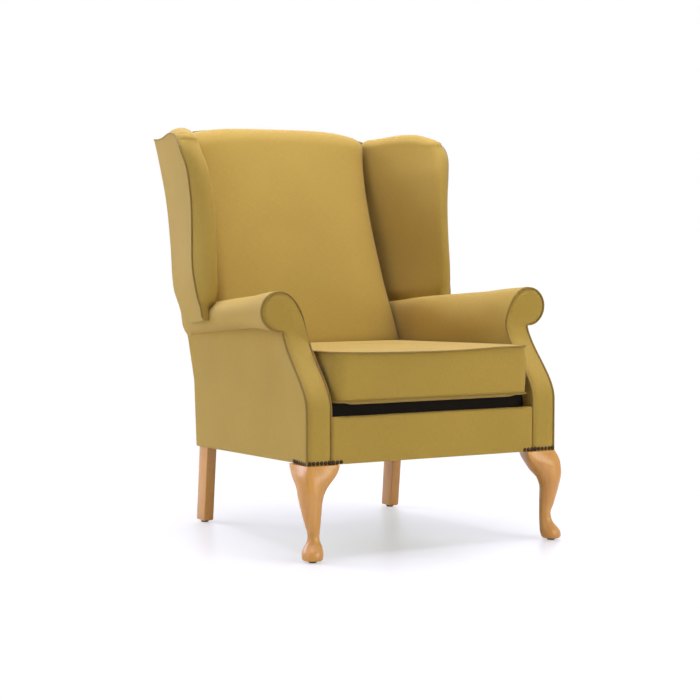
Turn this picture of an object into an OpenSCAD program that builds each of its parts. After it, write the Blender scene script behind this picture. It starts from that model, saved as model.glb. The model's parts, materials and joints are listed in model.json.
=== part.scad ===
// Fireside chair: an upholstered wing chair with a loose seat cushion, scroll arms
// and cabriole front legs. Millimetres, +Z up, the sitter faces -Y, and "left" is
// the sitter's left hand (+X). The origin lies on the floor, midway in width and depth.

/* [Body] */
// Width across the outsides of the body at the front
front_w = 676; // [620:1:740]
// How much narrower the body is at the rear
rear_taper = 86; // [50:1:120]
// Depth of the body at its underside, front border to outside back
body_d = 678; // [640:1:720]
// Height of the body's underside above the floor, at the front
underside_z = 216; // [190:1:240]
// How much lower the underside is at the rear
underside_drop = 21; // [0:1:40]
// Width of each arm facing, measured below the scroll
facing_w = 63.5; // [50:0.5:80]
// Height of the front border
border_h = 107.5; // [90:0.5:125]

/* [Seat cushion] */
// Height of the cushion's underside above the floor
cushion_z = 355; // [348:1:365]
// Thickness of the cushion at its piped edges
cushion_t = 115; // [90:1:130]
// How far the cushion's top and underside swell between the edges
cushion_crown = 7; // [2:0.5:12]
// How far the cushion's sides draw in between its corners
cushion_draw = 5; // [0:0.5:10]
// Thickness of the cushion's sewn cover
cover_t = 1.6; // [1:0.1:3]
// Fall of the cushion's top from front to rear
cushion_fall = 14; // [0:1:25]

/* [Arms] */
// Height of the top of the arm scroll at the front
arm_z = 604; // [570:1:640]
// Radius of the arm scroll at the front
scroll_r = 46; // [38:0.5:52]
// How far the scroll's centre stands outside the front corner of the body
scroll_out = 6; // [0:0.5:12]
// How far the scroll stands back from the front border
arm_lean = 118; // [80:1:150]
// Height at which the arm front starts to lean back
lean_low = 340; // [325:1:365]
// Height at which the arm front stops leaning back
lean_high = 530; // [500:1:550]
// Fall of the arm roll's centre from front to rear
arm_fall = 50; // [20:1:70]
// Height of the arm roll towards the rear, half of it
roll_rear = 38.5; // [32:0.5:44]
// How far the arm roll turns in towards the rear
roll_turn = 66; // [40:1:80]

/* [Back] */
// Height of the crest at its middle
crest_z = 1012; // [960:1:1060]
// Thickness of the back and its padding, measured at the seat
back_t = 112; // [100:1:130]
// Height at which the inside back starts to lean
seat_z = 457; // [440:1:480]
// Lean of the inside back from upright, in degrees
rake = 20.7; // [14:0.1:24]
// Lean of the outside back from upright, in degrees
rear_rake = 18.8; // [12:0.1:22]
// Height at which the outside back starts to lean
bend_z = 363; // [340:1:400]
// Thickness of each side at its seam with the inside back
side_t = 49; // [44:0.5:56]
// How much the crest falls towards the wings
crest_fall = 24; // [10:1:40]

/* [Wings] */
// How far the wings reach forward of the inside back at their widest
wing_reach = 190; // [150:1:220]
// How far the wings' outer front edge stands outside the front corner of the body
wing_out = 37; // [20:1:45]
// Width of the rolled front of the wing, outer edge to inner face
wing_roll = 46; // [35:1:60]
// Height of the wing's highest point
wing_z = 1003; // [960:1:1040]
// Fall of the wing's top edge towards its front and its rear corner
wing_fall = 20; // [10:1:30]

/* [Legs] */
// Width of the front leg's top block
leg_block = 88; // [75:1:96]
// How far the front foot stands inside the line of the corner
foot_in = 10; // [0:1:16]
// Depth of the rear leg and back post
post_d = 48; // [40:1:56]
// Thickness of the rear leg and back post
post_t = 26; // [22:0.5:32]
// How far the rear foot stands behind the post at the body's underside
rear_splay = 21; // [0:1:40]
// Diameter of the foot glides
glide_d = 19; // [14:0.5:24]
// Height of the foot glides
glide_h = 5; // [3:0.5:8]

/* [Timber and coverings] */
// Thickness of the seat rails
rail_t = 26; // [20:1:32]
// Thickness of the padded facing, front to back
facing_t = 8; // [6:0.5:12]
// Thickness of the board behind each facing
board_t = 5.5; // [4:0.5:8]
// Thickness of the padded outside panels
panel_t = 6; // [4:0.5:9]
// Thickness of the padding on the inside of the arms
arm_pad_t = 22; // [16:1:26]
// Diameter of the piping cord
piping_d = 4.4; // [3.5:0.1:5]
// Diameter of the heads of the decorative nails
nail_d = 9.6; // [8:0.1:11]

/* [Hidden] */

$fn = 32;
// Clearance between neighbouring pieces
gap = 0.3;
// Overrun of every cutting shape
over = 2;
// Small step for measuring a slope
step = 1;

// Width of the body at the rear, and depth of the seat to the inside back
rear_w = front_w - rear_taper;
seat_d = body_d - back_t;
// Half the width of the seat between the facings, and of the inside back
seat_half = front_w / 2 - facing_w;
back_half = rear_w / 2 - side_t;
// The scroll's centre and the wings' outer front edge, from the middle of the chair
scroll_x = front_w / 2 + scroll_out;
wing_x = front_w / 2 + wing_out;
// Clearance between the cushion and the arms and back around it
cushion_gap = 5;

// A value between a and b
function mix(a, b, t) = a + (b - a) * t;
// A smooth rise from 0 to 1
function smooth(t) = let (c = min(1, max(0, t))) c * c * (3 - 2 * c);
// Evenly spaced shares from 0 to 1
function shares(n) = [for (i = [0 : n]) i / n];

// Where the arm front lies at a height, and its slope there
function lean(z) = arm_lean * smooth((z - lean_low) / (lean_high - lean_low));
function stretch(z) = sqrt(1 + pow((lean(z + step) - lean(z - step)) / (2 * step), 2));
// A surface that lies a given distance behind the arm front
function behind(z, d) = lean(z) + d * stretch(z);

// The body's side and underside at a depth
function side_x(y) = mix(front_w / 2, rear_w / 2, y / body_d);
function under_z(y) = underside_z
    - underside_drop * max(0, y - leg_block) / (body_d - leg_block);
// The inner face of the arm at a depth
function inner_x(y) = mix(seat_half, back_half + over, min(1, y / seat_d));
// The inside back and the outside back at a height
function back_y(z) = seat_d + max(0, z - seat_z) * tan(rake);
bend_out = 12;
function rear_y(z) = z < bend_z
    ? body_d + bend_out * (z - underside_z + underside_drop)
        / (bend_z - underside_z + underside_drop)
    : body_d + bend_out + (z - bend_z) * tan(rear_rake);
function post_y(z) = rear_y(z) - panel_t - gap - post_d;
// Middle of the depth: the front knees and the tops of the wings' rear corners set it
knee_share = 0.3;
depth_mid = (rear_y(wing_z - wing_fall) - knee_share * leg_block) / 2;
taper = atan((front_w - rear_w) / 2 / body_d);

// The arm roll along its length: its centre, height and reach
roll_y0 = arm_lean + facing_t + board_t;
roll_y1 = post_y(arm_z - arm_fall - scroll_r);
function roll_u(y) = min(1, max(0, (y - arm_lean) / (roll_y1 - arm_lean + post_d)));
function roll_x(y) = scroll_x - roll_turn * (1 - pow(1 - roll_u(y), 1.5));
function roll_h(y) = mix(roll_rear, scroll_r, 1 - smooth(3.6 * roll_u(y)));
function roll_z(y) = arm_z - scroll_r - arm_fall * pow(roll_u(y), 1.4);
// Swell of the roll's reach along the arm, and how much of it is lost at the rear
roll_swell = 3;
roll_pinch = 6;
function roll_reach(y) = scroll_r + roll_swell * sin(180 * roll_u(y))
    - roll_pinch * pow(roll_u(y), 4);
// Height below the roll's centre at which the inner face starts to curve
curl_share = 1.48;
curl_low = arm_z - scroll_r * (1 + curl_share);
// The top of the arm over a place
function arm_top(x, y) = let (c = roll_x(y), z = roll_z(y), h = roll_h(y), r = roll_reach(y),
        i = inner_x(y), low = z - curl_share * h)
    x > c + r ? z
    : x > c ? z + h * sqrt(max(0, 1 - pow((x - c) / r, 2)))
    : low + (z + h - low) * sqrt(max(0, 1 - pow((c - max(x, i)) / (c - i), 2)));

// Closed solid through rings of points. Every ring has the same count, and runs
// so that its first and last points lie side by side: each end is closed by a ladder
module loft(rings) {
    n = len(rings[0]);
    m = len(rings);
    walls = [for (i = [0 : m - 2]) for (j = [0 : n - 1])
        let (a = i * n + j, b = i * n + (j + 1) % n, c = a + n, d = b + n)
        each [[a, c, b], [b, c, d]]];
    ladder = [for (i = [0 : floor(n / 2) - 1]) let (b = i + 1, c = n - 2 - i, d = n - 1 - i)
        each b < c ? [[i, b, d], [b, c, d]] : b == c ? [[i, b, d]] : []];
    far = [for (t = ladder) [t[0], t[2], t[1]] + (m - 1) * n * [1, 1, 1]];
    polyhedron([for (r = rings) each r], concat(walls, ladder, far));
}
function flip(v) = [for (i = [len(v) - 1 : -1 : 0]) v[i]];
function mean(v) = sum(v) / len(v);
function sum(v, i = 0) = i < len(v) ? v[i] + sum(v, i + 1) : 0;

// Closed solid between an outer and an inner grid of points
module sheet(outer, inner) {
    loft(flip([for (i = [0 : len(outer) - 1]) concat(outer[i], flip(inner[i]))]));
}

// Round cord along a path, open or closed. No path runs along this direction
cord_shares = [0.35, 1, 0.2];
module cord(path, d, closed = false) {
    n = 6;
    m = len(path);
    rings = [for (i = [0 : m - 1])
        let (a = closed ? path[(i + m - 1) % m] : path[max(0, i - 1)],
            b = closed ? path[(i + 1) % m] : path[min(m - 1, i + 1)],
            t = (b - a) / norm(b - a),
            side = cross(t, cord_shares),
            u = side / norm(side),
            v = cross(t, u))
        [for (j = [0 : n - 1]) path[i] + d / 2 * (cos(60 * j) * u + sin(60 * j) * v)]];
    if (closed) {
        points = [for (r = rings) each r];
        polyhedron(points, [for (i = [0 : m - 1]) for (j = [0 : n - 1])
            let (a = i * n + j, b = i * n + (j + 1) % n,
                c = (i + 1) % m * n + j, e = (i + 1) % m * n + (j + 1) % n)
            each [[a, c, b], [b, c, e]]]);
    } else {
        loft(rings);
    }
}

module at_origin() {
    translate([0, -depth_mid, 0]) children();
}
module both(left) {
    at_origin() mirror([left ? 0 : 1, 0, 0]) children();
}

// Timber frame

rail_h = 88;
rail_up = 3;
rail_y = facing_t + board_t + gap;
rail_z = underside_z + rail_up;
rail_top = rail_z + rail_h;

module front_rail() {
    half = side_x(rail_y + rail_t) - panel_t - gap;
    color("burlywood") at_origin() translate([-half, rail_y, rail_z])
        cube([2 * half, rail_t, rail_h]);
}

// Board that lies along one side of the body: an outline of [depth, height] points,
// its outer face set in from the body's side. The taper turns it, so its front edge
// starts a skew further back and its rear edge stops a skew short
module side_board(points, inset, thick, left) {
    both(left) translate([front_w / 2, (inset + thick) * sin(taper), 0]) rotate([0, 0, taper])
        translate([-inset - thick, 0, 0]) rotate([90, 0, 90])
        linear_extrude(thick) polygon(points);
}
function skew(thick) = thick * sin(taper) + 2 * gap;

post_front = rail_y + rail_t + gap;
// Arm post: its thickness, and its depth at the foot and above
arm_post_t = 30;
arm_post_d = 50;
arm_post_up = 62;
side_rail_end = post_y(rail_top) - gap;
module side_rail(left) {
    y0 = post_front + arm_post_d + skew(arm_post_t);
    y1 = post_y(underside_z) - 2 * skew(rail_t);
    color("burlywood") side_board([[y0, under_z(y0) + rail_up], [y1, under_z(y1) + rail_up],
        [side_rail_end - 2 * skew(rail_t), rail_top], [y0, rail_top]], panel_t + gap, rail_t, left);
}

module rear_rail() {
    half = rear_w / 2 - panel_t - gap - post_t - gap - over;
    y = post_y(rail_z) + (post_d - rail_t) / 2;
    z0 = under_z(y) + rail_up;
    color("burlywood") at_origin() translate([-half, y, z0])
        cube([2 * half, rail_t, rail_top - z0]);
}

// Triangular blocks glued into the corners of the seat frame
block_leg = 78;
block_h = 60;
bolt_d = 8;
bolt_l = 78;
module corner_blocks() {
    color("tan") for (left = [false, true]) {
        x = side_x(post_front + block_leg) - panel_t - arm_post_t - 3 * gap;
        both(left) difference() {
            translate([0, post_front, rail_z]) linear_extrude(block_h)
                polygon([[x, 0], [x, block_leg], [x - block_leg, 0]]);
            translate([bolt_at()[0], bolt_at()[1], rail_z - over])
                cylinder(d = bolt_d + 2 * gap, h = block_h + 2 * over);
        }
        xr = rear_w / 2 - panel_t - post_t - rail_t;
        yr = post_y(rail_z) + (post_d - rail_t) / 2 - gap;
        both(left) translate([0, yr, rail_z]) linear_extrude(block_h)
            polygon([[xr, 0], [xr - block_leg, 0], [xr, -block_leg]]);
    }
}
// Where the leg's bolt goes up through the corner block
function bolt_at() = [side_x(post_front + block_leg) - panel_t - arm_post_t - block_leg / 6,
    post_front + block_leg / 6];

// Cabriole leg. Each row: height share, outward reach, inward reach, half width and
// the place of the widest point, as shares of the block; last, how square it is
leg_shares = [[1, 0, -1, 0.62, -0.62, 1.15], [0.94, 0.09, -0.96, 0.6, -0.58, 1.25],
    [0.88, 0.15, -0.875, 0.56, -0.5, 1.4], [0.78, 0.185, -0.705, 0.43, -0.34, 1.7],
    [0.727, 0.19, -0.58, 0.37, -0.25, 1.9], [0.685, 0.176, -0.49, 0.34, -0.18, 2],
    [0.588, 0.126, -0.41, 0.29, -0.14, 2], [0.486, 0.0625, -0.407, 0.252, -0.17, 2],
    [0.38, -0.011, -0.407, 0.208, -0.21, 2], [0.29, -0.084, -0.405, 0.165, -0.245, 2],
    [0.222, -0.0625, -0.4, 0.157, -0.23, 2], [0.178, -0.017, -0.395, 0.188, -0.205, 2],
    [0.13, 0.08, -0.386, 0.244, -0.155, 2], [0.079, 0.18, -0.375, 0.276, -0.1, 2],
    [0.018, 0.2, -0.33, 0.27, -0.065, 2], [0, 0.165, -0.295, 0.24, -0.065, 2]];
leg_sides = 16;
function leg_ring(row) = let (corner = [front_w / 2, 0],
        z = mix(glide_h + gap / 3, underside_z - gap, row[0]),
        out = [1, -1] / sqrt(2), across = [1, 1] / sqrt(2),
        middle = corner + row[4] * leg_block * out - foot_in * (1 - row[0]) * across)
    [for (i = [0 : leg_sides - 1]) let (a = 360 * i / leg_sides, c = cos(a), s = sin(a),
            reach = c > 0 ? row[1] - row[4] : row[4] - row[2],
            p = middle + leg_block * (reach * sign(c) * pow(abs(c), 2 / row[5]) * out
                + row[3] * sign(s) * pow(abs(s), 2 / row[5]) * across))
        [p[0], p[1], z]];
module front_leg(left) {
    color("peru") both(left)
        loft([for (i = [len(leg_shares) - 1 : -1 : 0]) leg_ring(leg_shares[i])]);
}

module leg_bolts() {
    color("silver") for (left = [false, true]) both(left)
        translate([bolt_at()[0], bolt_at()[1], underside_z + gap])
        cylinder(d = bolt_d, h = bolt_l);
}

// Rear leg and back post, cut from one raked board
post_x = rear_w / 2 - panel_t - gap;
// Depth of padding over the posts' tops
crest_cover = 22;
post_top = crest_z - crest_fall - crest_cover;
foot_cut = 4;
module back_post(left) {
    z0 = glide_h;
    zu = under_z(body_d);
    f0 = post_y(zu) + rear_splay;
    color("peru") both(left)
        translate([post_x - post_t, 0, 0]) rotate([90, 0, 90]) linear_extrude(post_t)
            polygon([[f0 + foot_cut, z0], [f0, z0 + foot_cut], [post_y(zu), zu],
                [post_y(bend_z), bend_z],
                [post_y(post_top), post_top], [post_y(post_top) + post_d, post_top],
                [post_y(bend_z) + post_d, bend_z], [post_y(zu) + post_d, zu],
                [f0 + post_d - foot_cut / 2, z0 + foot_cut], [f0 + post_d - foot_cut, z0]]);
}

crest_rail_h = 64;
module crest_rail() {
    half = post_x - post_t - gap;
    low = post_top - crest_rail_h;
    color("burlywood") at_origin() translate([-half, 0, 0]) rotate([90, 0, 90])
        linear_extrude(2 * half) polygon([[post_y(low), low], [post_y(low) + post_d, low],
            [post_y(post_top) + post_d, post_top], [post_y(post_top), post_top]]);
}

lower_rail_z = 372;
lower_rail_h = 45;
module back_lower_rail() {
    half = post_x - post_t - gap;
    high = lower_rail_z + lower_rail_h;
    color("burlywood") at_origin() translate([-half, 0, 0]) rotate([90, 0, 90])
        linear_extrude(2 * half) polygon([[post_y(lower_rail_z), lower_rail_z],
            [post_y(lower_rail_z) + rail_t, lower_rail_z],
            [post_y(high) + rail_t, high], [post_y(high), high]]);
}

// Arm timbers
// Heights at which every piece along the arm front has its corners
front_levels = [for (t = shares(12)) mix(lean_low, curl_low, t)];
cusp_z = arm_z - 2 * scroll_r;
post_levels = concat([rail_top + gap], front_levels, [mix(curl_low, cusp_z, 0.5), cusp_z - 4 * gap]);
function arm_post_back(z) = max(post_front + arm_post_d, lean(z) + arm_post_up);
module arm_post(left) {
    color("burlywood") side_board(concat(
        [[post_front + arm_post_d, rail_z], [post_front, rail_z], [post_front, rail_top + gap]],
        [for (z = post_levels) [behind(z, facing_t + board_t) + 2 * gap, z]],
        [for (i = [len(post_levels) - 1 : -1 : 1]) [arm_post_back(post_levels[i]), post_levels[i]]]),
        panel_t + gap, arm_post_t, left);
}

arm_rail_t = 22;
arm_rail_h = 32;
function roll_under(y) = roll_z(y) - roll_h(y) - over / 2;
module arm_rail(left) {
    y0 = arm_post_back(cusp_z) + skew(arm_post_t);
    y1 = post_y(roll_under(body_d) - arm_rail_h) - 2 * skew(arm_rail_t);
    ys = [for (t = shares(6)) mix(y0, y1, t)];
    color("burlywood") side_board(concat([for (y = ys) [y, roll_under(y) - over / 2]],
        [for (i = [6 : -1 : 0]) [ys[i], roll_under(ys[i]) - arm_rail_h]]),
        panel_t + gap, arm_rail_t, left);
}

stuffing_rail_t = 16;
stuffing_rail_h = 30;
pad_low = lean_low - over;
module arm_stuffing_rail(left) {
    y0 = post_front + arm_post_d + 2 * gap;
    high = pad_low + stuffing_rail_h;
    inset = panel_t + gap + stuffing_rail_t * 0.75;
    color("burlywood") side_board([[y0, pad_low], [post_y(pad_low) - 2 * skew(arm_post_t), pad_low],
        [post_y(high) - 2 * skew(arm_post_t), high], [y0, high]], inset, stuffing_rail_t, left);
}

// Wings. Rows of height share, reach share, side share and the roll's forward share
wing_sink = 48;
wing_low = arm_z - wing_sink;
wing_shares = [[0, 0.51, 0.92, 0.5], [0.105, 0.54, 0.985, 0.78], [0.217, 0.57, 1, 1],
    [0.371, 0.68, 0.997, 0.98], [0.5615, 0.845, 0.995, 0.8], [0.754, 0.985, 1.013, 0.6],
    [0.87, 1, 1.037, 0.5], [0.955, 0.87, 1.035, 0.52], [1, 0.62, 0.995, 0.5]];
function wing_share(z, k) = lookup((z - wing_low) / (wing_z - wing_low),
    [for (r = wing_shares) [r[0], r[k]]]);
function wing_front(z) = [wing_x * wing_share(z, 2), back_y(z) - wing_reach * wing_share(z, 1)];
// The rear corner's distance from the middle, as shares of the body's rear width
corner_shares = [[0, 0.5], [0.09, 0.516], [0.24, 0.534], [0.44, 0.519], [0.65, 0.509],
    [0.85, 0.516], [1, 0.527]];
corner_low = cushion_z + cushion_t;
function rear_corner(z) = [rear_w * lookup((z - corner_low) / (wing_z - corner_low), corner_shares),
    rear_y(z)];
// A point in the wing's side: t from the front edge to the rear corner, d inwards
function wing_at(z, t, d) = let (a = wing_front(z), b = rear_corner(z), u = (b - a) / norm(b - a))
    mix(a, b, t) + d * [-u[1], u[0]];
// Where the wing's side passes a given depth
function wing_t(z, y) = let (a = wing_front(z), b = rear_corner(z)) (y - a[1]) / (b[1] - a[1]);
// The wing's top edge, from the front to the rear, as shares of its fall
top_shares = [[0, 0.9], [0.07, 0.4], [0.2, 0.1], [0.35, 0], [0.55, 0.25], [0.8, 0.65], [1, 0.9]];
function wing_top(t) = wing_z - wing_fall * lookup(t, top_shares);

groove = piping_d + over;
board_in = panel_t + over;
wing_board_t = 22;
pocket_t = 0.12;
function bezier(a, b, c, d, t) = pow(1 - t, 3) * a + 3 * t * pow(1 - t, 2) * b
    + 3 * t * t * (1 - t) * c + pow(t, 3) * d;
// Plan outline of the wing's padding at a height
function wing_ring(z, pocket) = let (
        edge = wing_at(z, 0, board_in),
        turn = [-wing_roll, -wing_roll * wing_share(z, 3)],
        nose = wing_front(z) + turn,
        seam = [back_half + gap, back_y(z) + over],
        deep = board_in + (pocket ? wing_board_t + gap : gap),
        rear = post_y(z) - web_t - 3 * gap, end = wing_t(z, rear))
    concat([for (t = [0, 0.2, 0.4, 0.6, 0.8])
            bezier(edge, edge + [turn[0] * 0.1, turn[1] * 0.8],
                nose + [-turn[0] * 0.4, turn[1] * 0.5], nose, t)],
        [for (t = [0, 0.2, 0.4, 0.6, 0.75, 0.86, 0.93, 0.97])
            mix(nose, seam, t) + wing_roll / 8 * sin(180 * t) * [-1, -0.5]],
        [seam], [for (t = [0, 0.04, 0.1, 0.2, 0.35, 0.6, 1])
            mix([back_half + gap, rear], wing_at(z, end, deep), t)],
        [wing_at(z, pocket_t, deep), wing_at(z, pocket_t, board_in)]);
function wing_base(x, y) = let (a = arm_top(x, min(y, roll_end)) + over)
    x > roll_x(y) ? max(a, wing_foot) : a;
roll_end = post_y(wing_low);
module wing_pad(left) {
    levels = [0, 0.04, 0.1, 0.2, 0.32, 0.45, 0.58, 0.7, 0.8, 0.87, 0.92, 0.945, 0.97, 0.972, 1];
    // The underside follows the arm's roll: rings around a point over the roll
    foot = wing_ring(wing_low, true);
    middle = (foot[5] + wing_at(wing_low, pocket_t, board_in + wing_board_t)) / 2;
    nests = [0.1, 0.3, 0.5, 0.65, 0.76, 0.84, 0.9, 0.935, 0.96, 0.975, 0.985];
    under = [for (k = nests) [for (p = foot) let (q = mix(middle, p, k))
        [q[0], q[1], wing_base(q[0], q[1])]]];
    color("darkkhaki") both(left) loft(flip(concat(under, [for (v = levels)
        let (pocket = v < 0.971, ring = wing_ring(mix(wing_low, wing_z - wing_fall / 2, v), pocket))
        [for (i = [0 : len(ring) - 1]) let (p = ring[i],
                t = min(1, max(0, wing_t(wing_z - wing_fall, p[1]))),
                nose = i > 0 && i < 6 ? 0.35 : 0.08,
                z = mix(wing_base(p[0], p[1]), wing_top(t) - wing_fall * nose, v),
                q = wing_ring(z, pocket)[i])
            [q[0], q[1], z]]])));
}
// Board inside the wing between two places along its side
module wing_board(t0, t1, heights, left) {
    color("burlywood") both(left) loft(flip([for (z = heights)
        [for (c = [[t0, over], [t0, wing_board_t - over], [t1, wing_board_t - over], [t1, over]])
            let (p = wing_at(z, c[0], board_in + c[1])) [p[0], p[1], z]]]));
}
wing_cover = 16;
wing_rail_h = 50;
wing_board_top = wing_z - wing_fall - wing_cover;
wing_rail_z = wing_board_top - wing_rail_h;
wing_rail_levels = [for (t = shares(4)) mix(wing_rail_z, wing_board_top, t)];
wing_post_share = 0.17;
module wing_post(left) {
    low = wing_low + roll_rear / 2 - over;
    wing_board(pocket_t + 0.015, pocket_t + wing_post_share,
        concat([for (t = [0 : 0.1 : 0.9]) mix(low, wing_rail_z, t)], wing_rail_levels), left);
}
module wing_rail(left) {
    wing_board(pocket_t + wing_post_share + 0.002,
        wing_t(wing_rail_z, post_y(wing_rail_z)) - 0.015, wing_rail_levels, left);
}
wing_levels = [0, 0.07, 0.15, 0.25, 0.37, 0.5, 0.62, 0.74, 0.84, 0.92, 1];
wing_foot = wing_low - wing_fall / 2;
// Share along the side at which the outside panel stops short of the piping
function wing_lip(z) = groove / norm(rear_corner(z) - wing_front(z));
module outside_wing(left) {
    strip = [0, 0.35, 0.7, 1];
    run = [0, 0.12, 0.3, 0.5, 0.7, 0.85, 0.95, 1];
    // Share along the side of column k at a height
    function column(z, k) = let (cut = wing_t(z, post_y(z) + over))
        k < 4 ? mix(1, cut, strip[k]) : mix(cut - 0.012, wing_lip(z), run[k - 4]);
    function foot(k) = let (p = wing_at(wing_low, column(wing_low, k), panel_t + over))
        k < 4 ? roll_under(roll_end)
        : max(arm_top(p[0], p[1]) + over, k > 6 ? wing_foot : 0);
    function face(v, d) = [for (k = [0 : 11]) let (
            t = column(mix(wing_low, wing_z - wing_fall, v), k),
            z = mix(foot(k), wing_top(t) - groove - gap, v),
            p = wing_at(z, column(z, k), d))
        [p[0], p[1], z]];
    color("darkkhaki") both(left)
        sheet([for (v = wing_levels) face(v, 0)], [for (v = wing_levels) face(v, panel_t)]);
}

// Springing and webbing
spring_count = 8;
spring_d = 11;
hook_d = 3.4;
plate_t = 2;
spring_z = rail_top + gap + plate_t + gap + hook_d / 2;
function spring_y(i) = mix(post_front + arm_post_d + rail_t, post_y(rail_top) - rail_t,
    i / (spring_count - 1));
module seat_springs() {
    color("gray") at_origin() for (i = [0 : spring_count - 1]) {
        half = side_x(spring_y(i)) - panel_t - rail_t - over;
        translate([-half, spring_y(i), spring_z]) rotate([0, 90, 0])
            cylinder(d = spring_d, h = 2 * half);
        reach = half + rail_t / 2 + over;
        translate([-reach, spring_y(i), spring_z]) rotate([0, 90, 0])
            cylinder(d = hook_d, h = 2 * reach);
    }
}
plate_w = 18;
module spring_plates() {
    y0 = spring_y(0) - plate_w;
    y1 = spring_y(spring_count - 1) + plate_w / 2;
    color("silver") for (left = [false, true]) both(left)
        translate([front_w / 2, 0, 0]) rotate([0, 0, taper])
        translate([-panel_t - gap - rail_t, y0, rail_top + gap])
        cube([plate_w, y1 - y0, plate_t]);
}
platform_t = 1.5;
cushion_sag = 2.7;
platform_top = cushion_z - cushion_sag - gap;
pad_front = rail_y + rail_t;
// Plan of the seat between the arms
module seat_plan(inset, front) {
    polygon([[-inner_x(front) + inset, front], [inner_x(front) - inset, front],
        [inner_x(seat_d) - inset, seat_d - gap], [-inner_x(seat_d) + inset, seat_d - gap]]);
}
module spring_pad() {
    z0 = spring_z + spring_d / 2 + gap;
    color("white") at_origin() translate([0, 0, z0])
        linear_extrude(platform_top - platform_t - gap - z0)
        seat_plan(over, pad_front + platform_t + gap);
}
module platform_cloth() {
    z0 = underside_z + border_h + gap;
    front = pad_front;
    color("black") at_origin() intersection() {
        translate([-front_w / 2, 0, 0]) rotate([90, 0, 90]) linear_extrude(front_w)
            polygon([[front, z0], [front + platform_t, z0],
                [front + platform_t, platform_top - platform_t],
                [seat_d, platform_top - platform_t], [seat_d, platform_top],
                [front, platform_top]]);
        translate([0, 0, z0]) linear_extrude(platform_top) seat_plan(over / 2, front);
    }
}
web_count = 5;
web_w = 52;
web_t = 2;
module back_webbing() {
    color("tan") at_origin() for (i = [0 : web_count - 1]) {
        z = mix(lower_rail_z + web_w, post_top - crest_rail_h - web_w, i / (web_count - 1));
        translate([-post_x, post_y(z), z]) rotate([-rear_rake, 0, 0])
            translate([0, -web_t - gap / 3, 0]) cube([2 * post_x, web_t, web_w]);
    }
}

// Padding and covers
module front_border() {
    half = seat_half - gap;
    wrap = rail_y + rail_t / 2;
    r = facing_t / 2;
    top = underside_z + border_h;
    color("darkkhaki") at_origin() translate([-half, 0, 0]) rotate([90, 0, 90])
        linear_extrude(2 * half) difference() {
            union() {
                translate([0, underside_z]) square([rail_y - gap, border_h - r]);
                translate([r, underside_z]) square([wrap - 2 * r, border_h]);
                translate([r, top - r]) circle(r);
                translate([wrap - r, top - r]) circle(r);
                translate([r, rail_top + gap]) square([wrap - r, top - r - rail_top - gap]);
            }
            translate([rail_y - gap, underside_z - over])
                square([wrap, rail_top + gap + over - underside_z]);
        }
}

// The arm front's outline at a height, drawn in by a given amount
function facing_in(z, i) = z < curl_low ? seat_half + i
    : scroll_x - (scroll_x - seat_half - i)
        * sqrt(max(0, 1 - pow((z - curl_low) / (arm_z - i - curl_low), 2)));
function facing_out(z, i) = z < cusp_z + i ? front_w / 2 - gap - i
    : scroll_x + sqrt(max(0, pow(scroll_r - i, 2) - pow(z - arm_z + scroll_r, 2)));
function facing_levels(i) = concat(
    [for (t = [0, 0.3, 0.6]) mix(underside_z, lean_low, t)], front_levels,
    [mix(curl_low, cusp_z, 0.5), cusp_z + i - gap],
    [for (a = [4, 20, 40, 60, 80, 100, 120, 140, 158, 170, 178])
        arm_z - scroll_r - (scroll_r - i) * cos(a)]);
module arm_facing(left) {
    i = groove;
    crown_shares = [[0, 0.15], [0.1, 0.04], [0.5, 0], [0.9, 0.04], [1, 0.15]];
    color("darkkhaki") both(left) loft([for (z = facing_levels(i))
        let (a = facing_in(z, i), b = facing_out(z, i))
        concat([for (c = crown_shares) [mix(a, b, c[0]), behind(z, c[1] * facing_t), z]],
            [[b, behind(z, facing_t), z], [a, behind(z, facing_t), z]])]);
}
module facing_board(left) {
    color("burlywood") both(left) loft([for (z = facing_levels(gap))
        let (a = facing_in(z, gap), b = facing_out(z, gap),
            y0 = behind(z, facing_t + gap), y1 = behind(z, facing_t + board_t))
        [[a, y0, z], [b, y0, z], [b, y1, z], [a, y1, z]]]);
}
module facing_piping(left) {
    i = piping_d / 2 + gap / 2;
    d = facing_t - piping_d / 2 - gap;
    r = scroll_r - i;
    rise = [for (t = [0, 0.35, 0.7]) mix(underside_z, lean_low, t)];
    bend = [for (t = shares(11)) mix(lean_low, curl_low + scroll_r / 3, t)];
    sides = concat(rise, bend);
    path = concat([for (z = sides) [facing_out(z, i), z]],
        [for (a = [-98 : 14 : 90]) [scroll_x + r * cos(a), arm_z - scroll_r + r * sin(a)]],
        [for (a = [78 : -13 : 13]) let (z = curl_low + (arm_z - i - curl_low) * sin(a))
            [facing_in(z, i), z]],
        [for (k = [len(sides) - 1 : -1 : 0]) let (z = min(sides[k], curl_low)) [facing_in(z, i), z]]);
    color("goldenrod") both(left)
        cord([for (p = path) [p[0], behind(p[1], d), p[1]]], piping_d);
}

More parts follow.
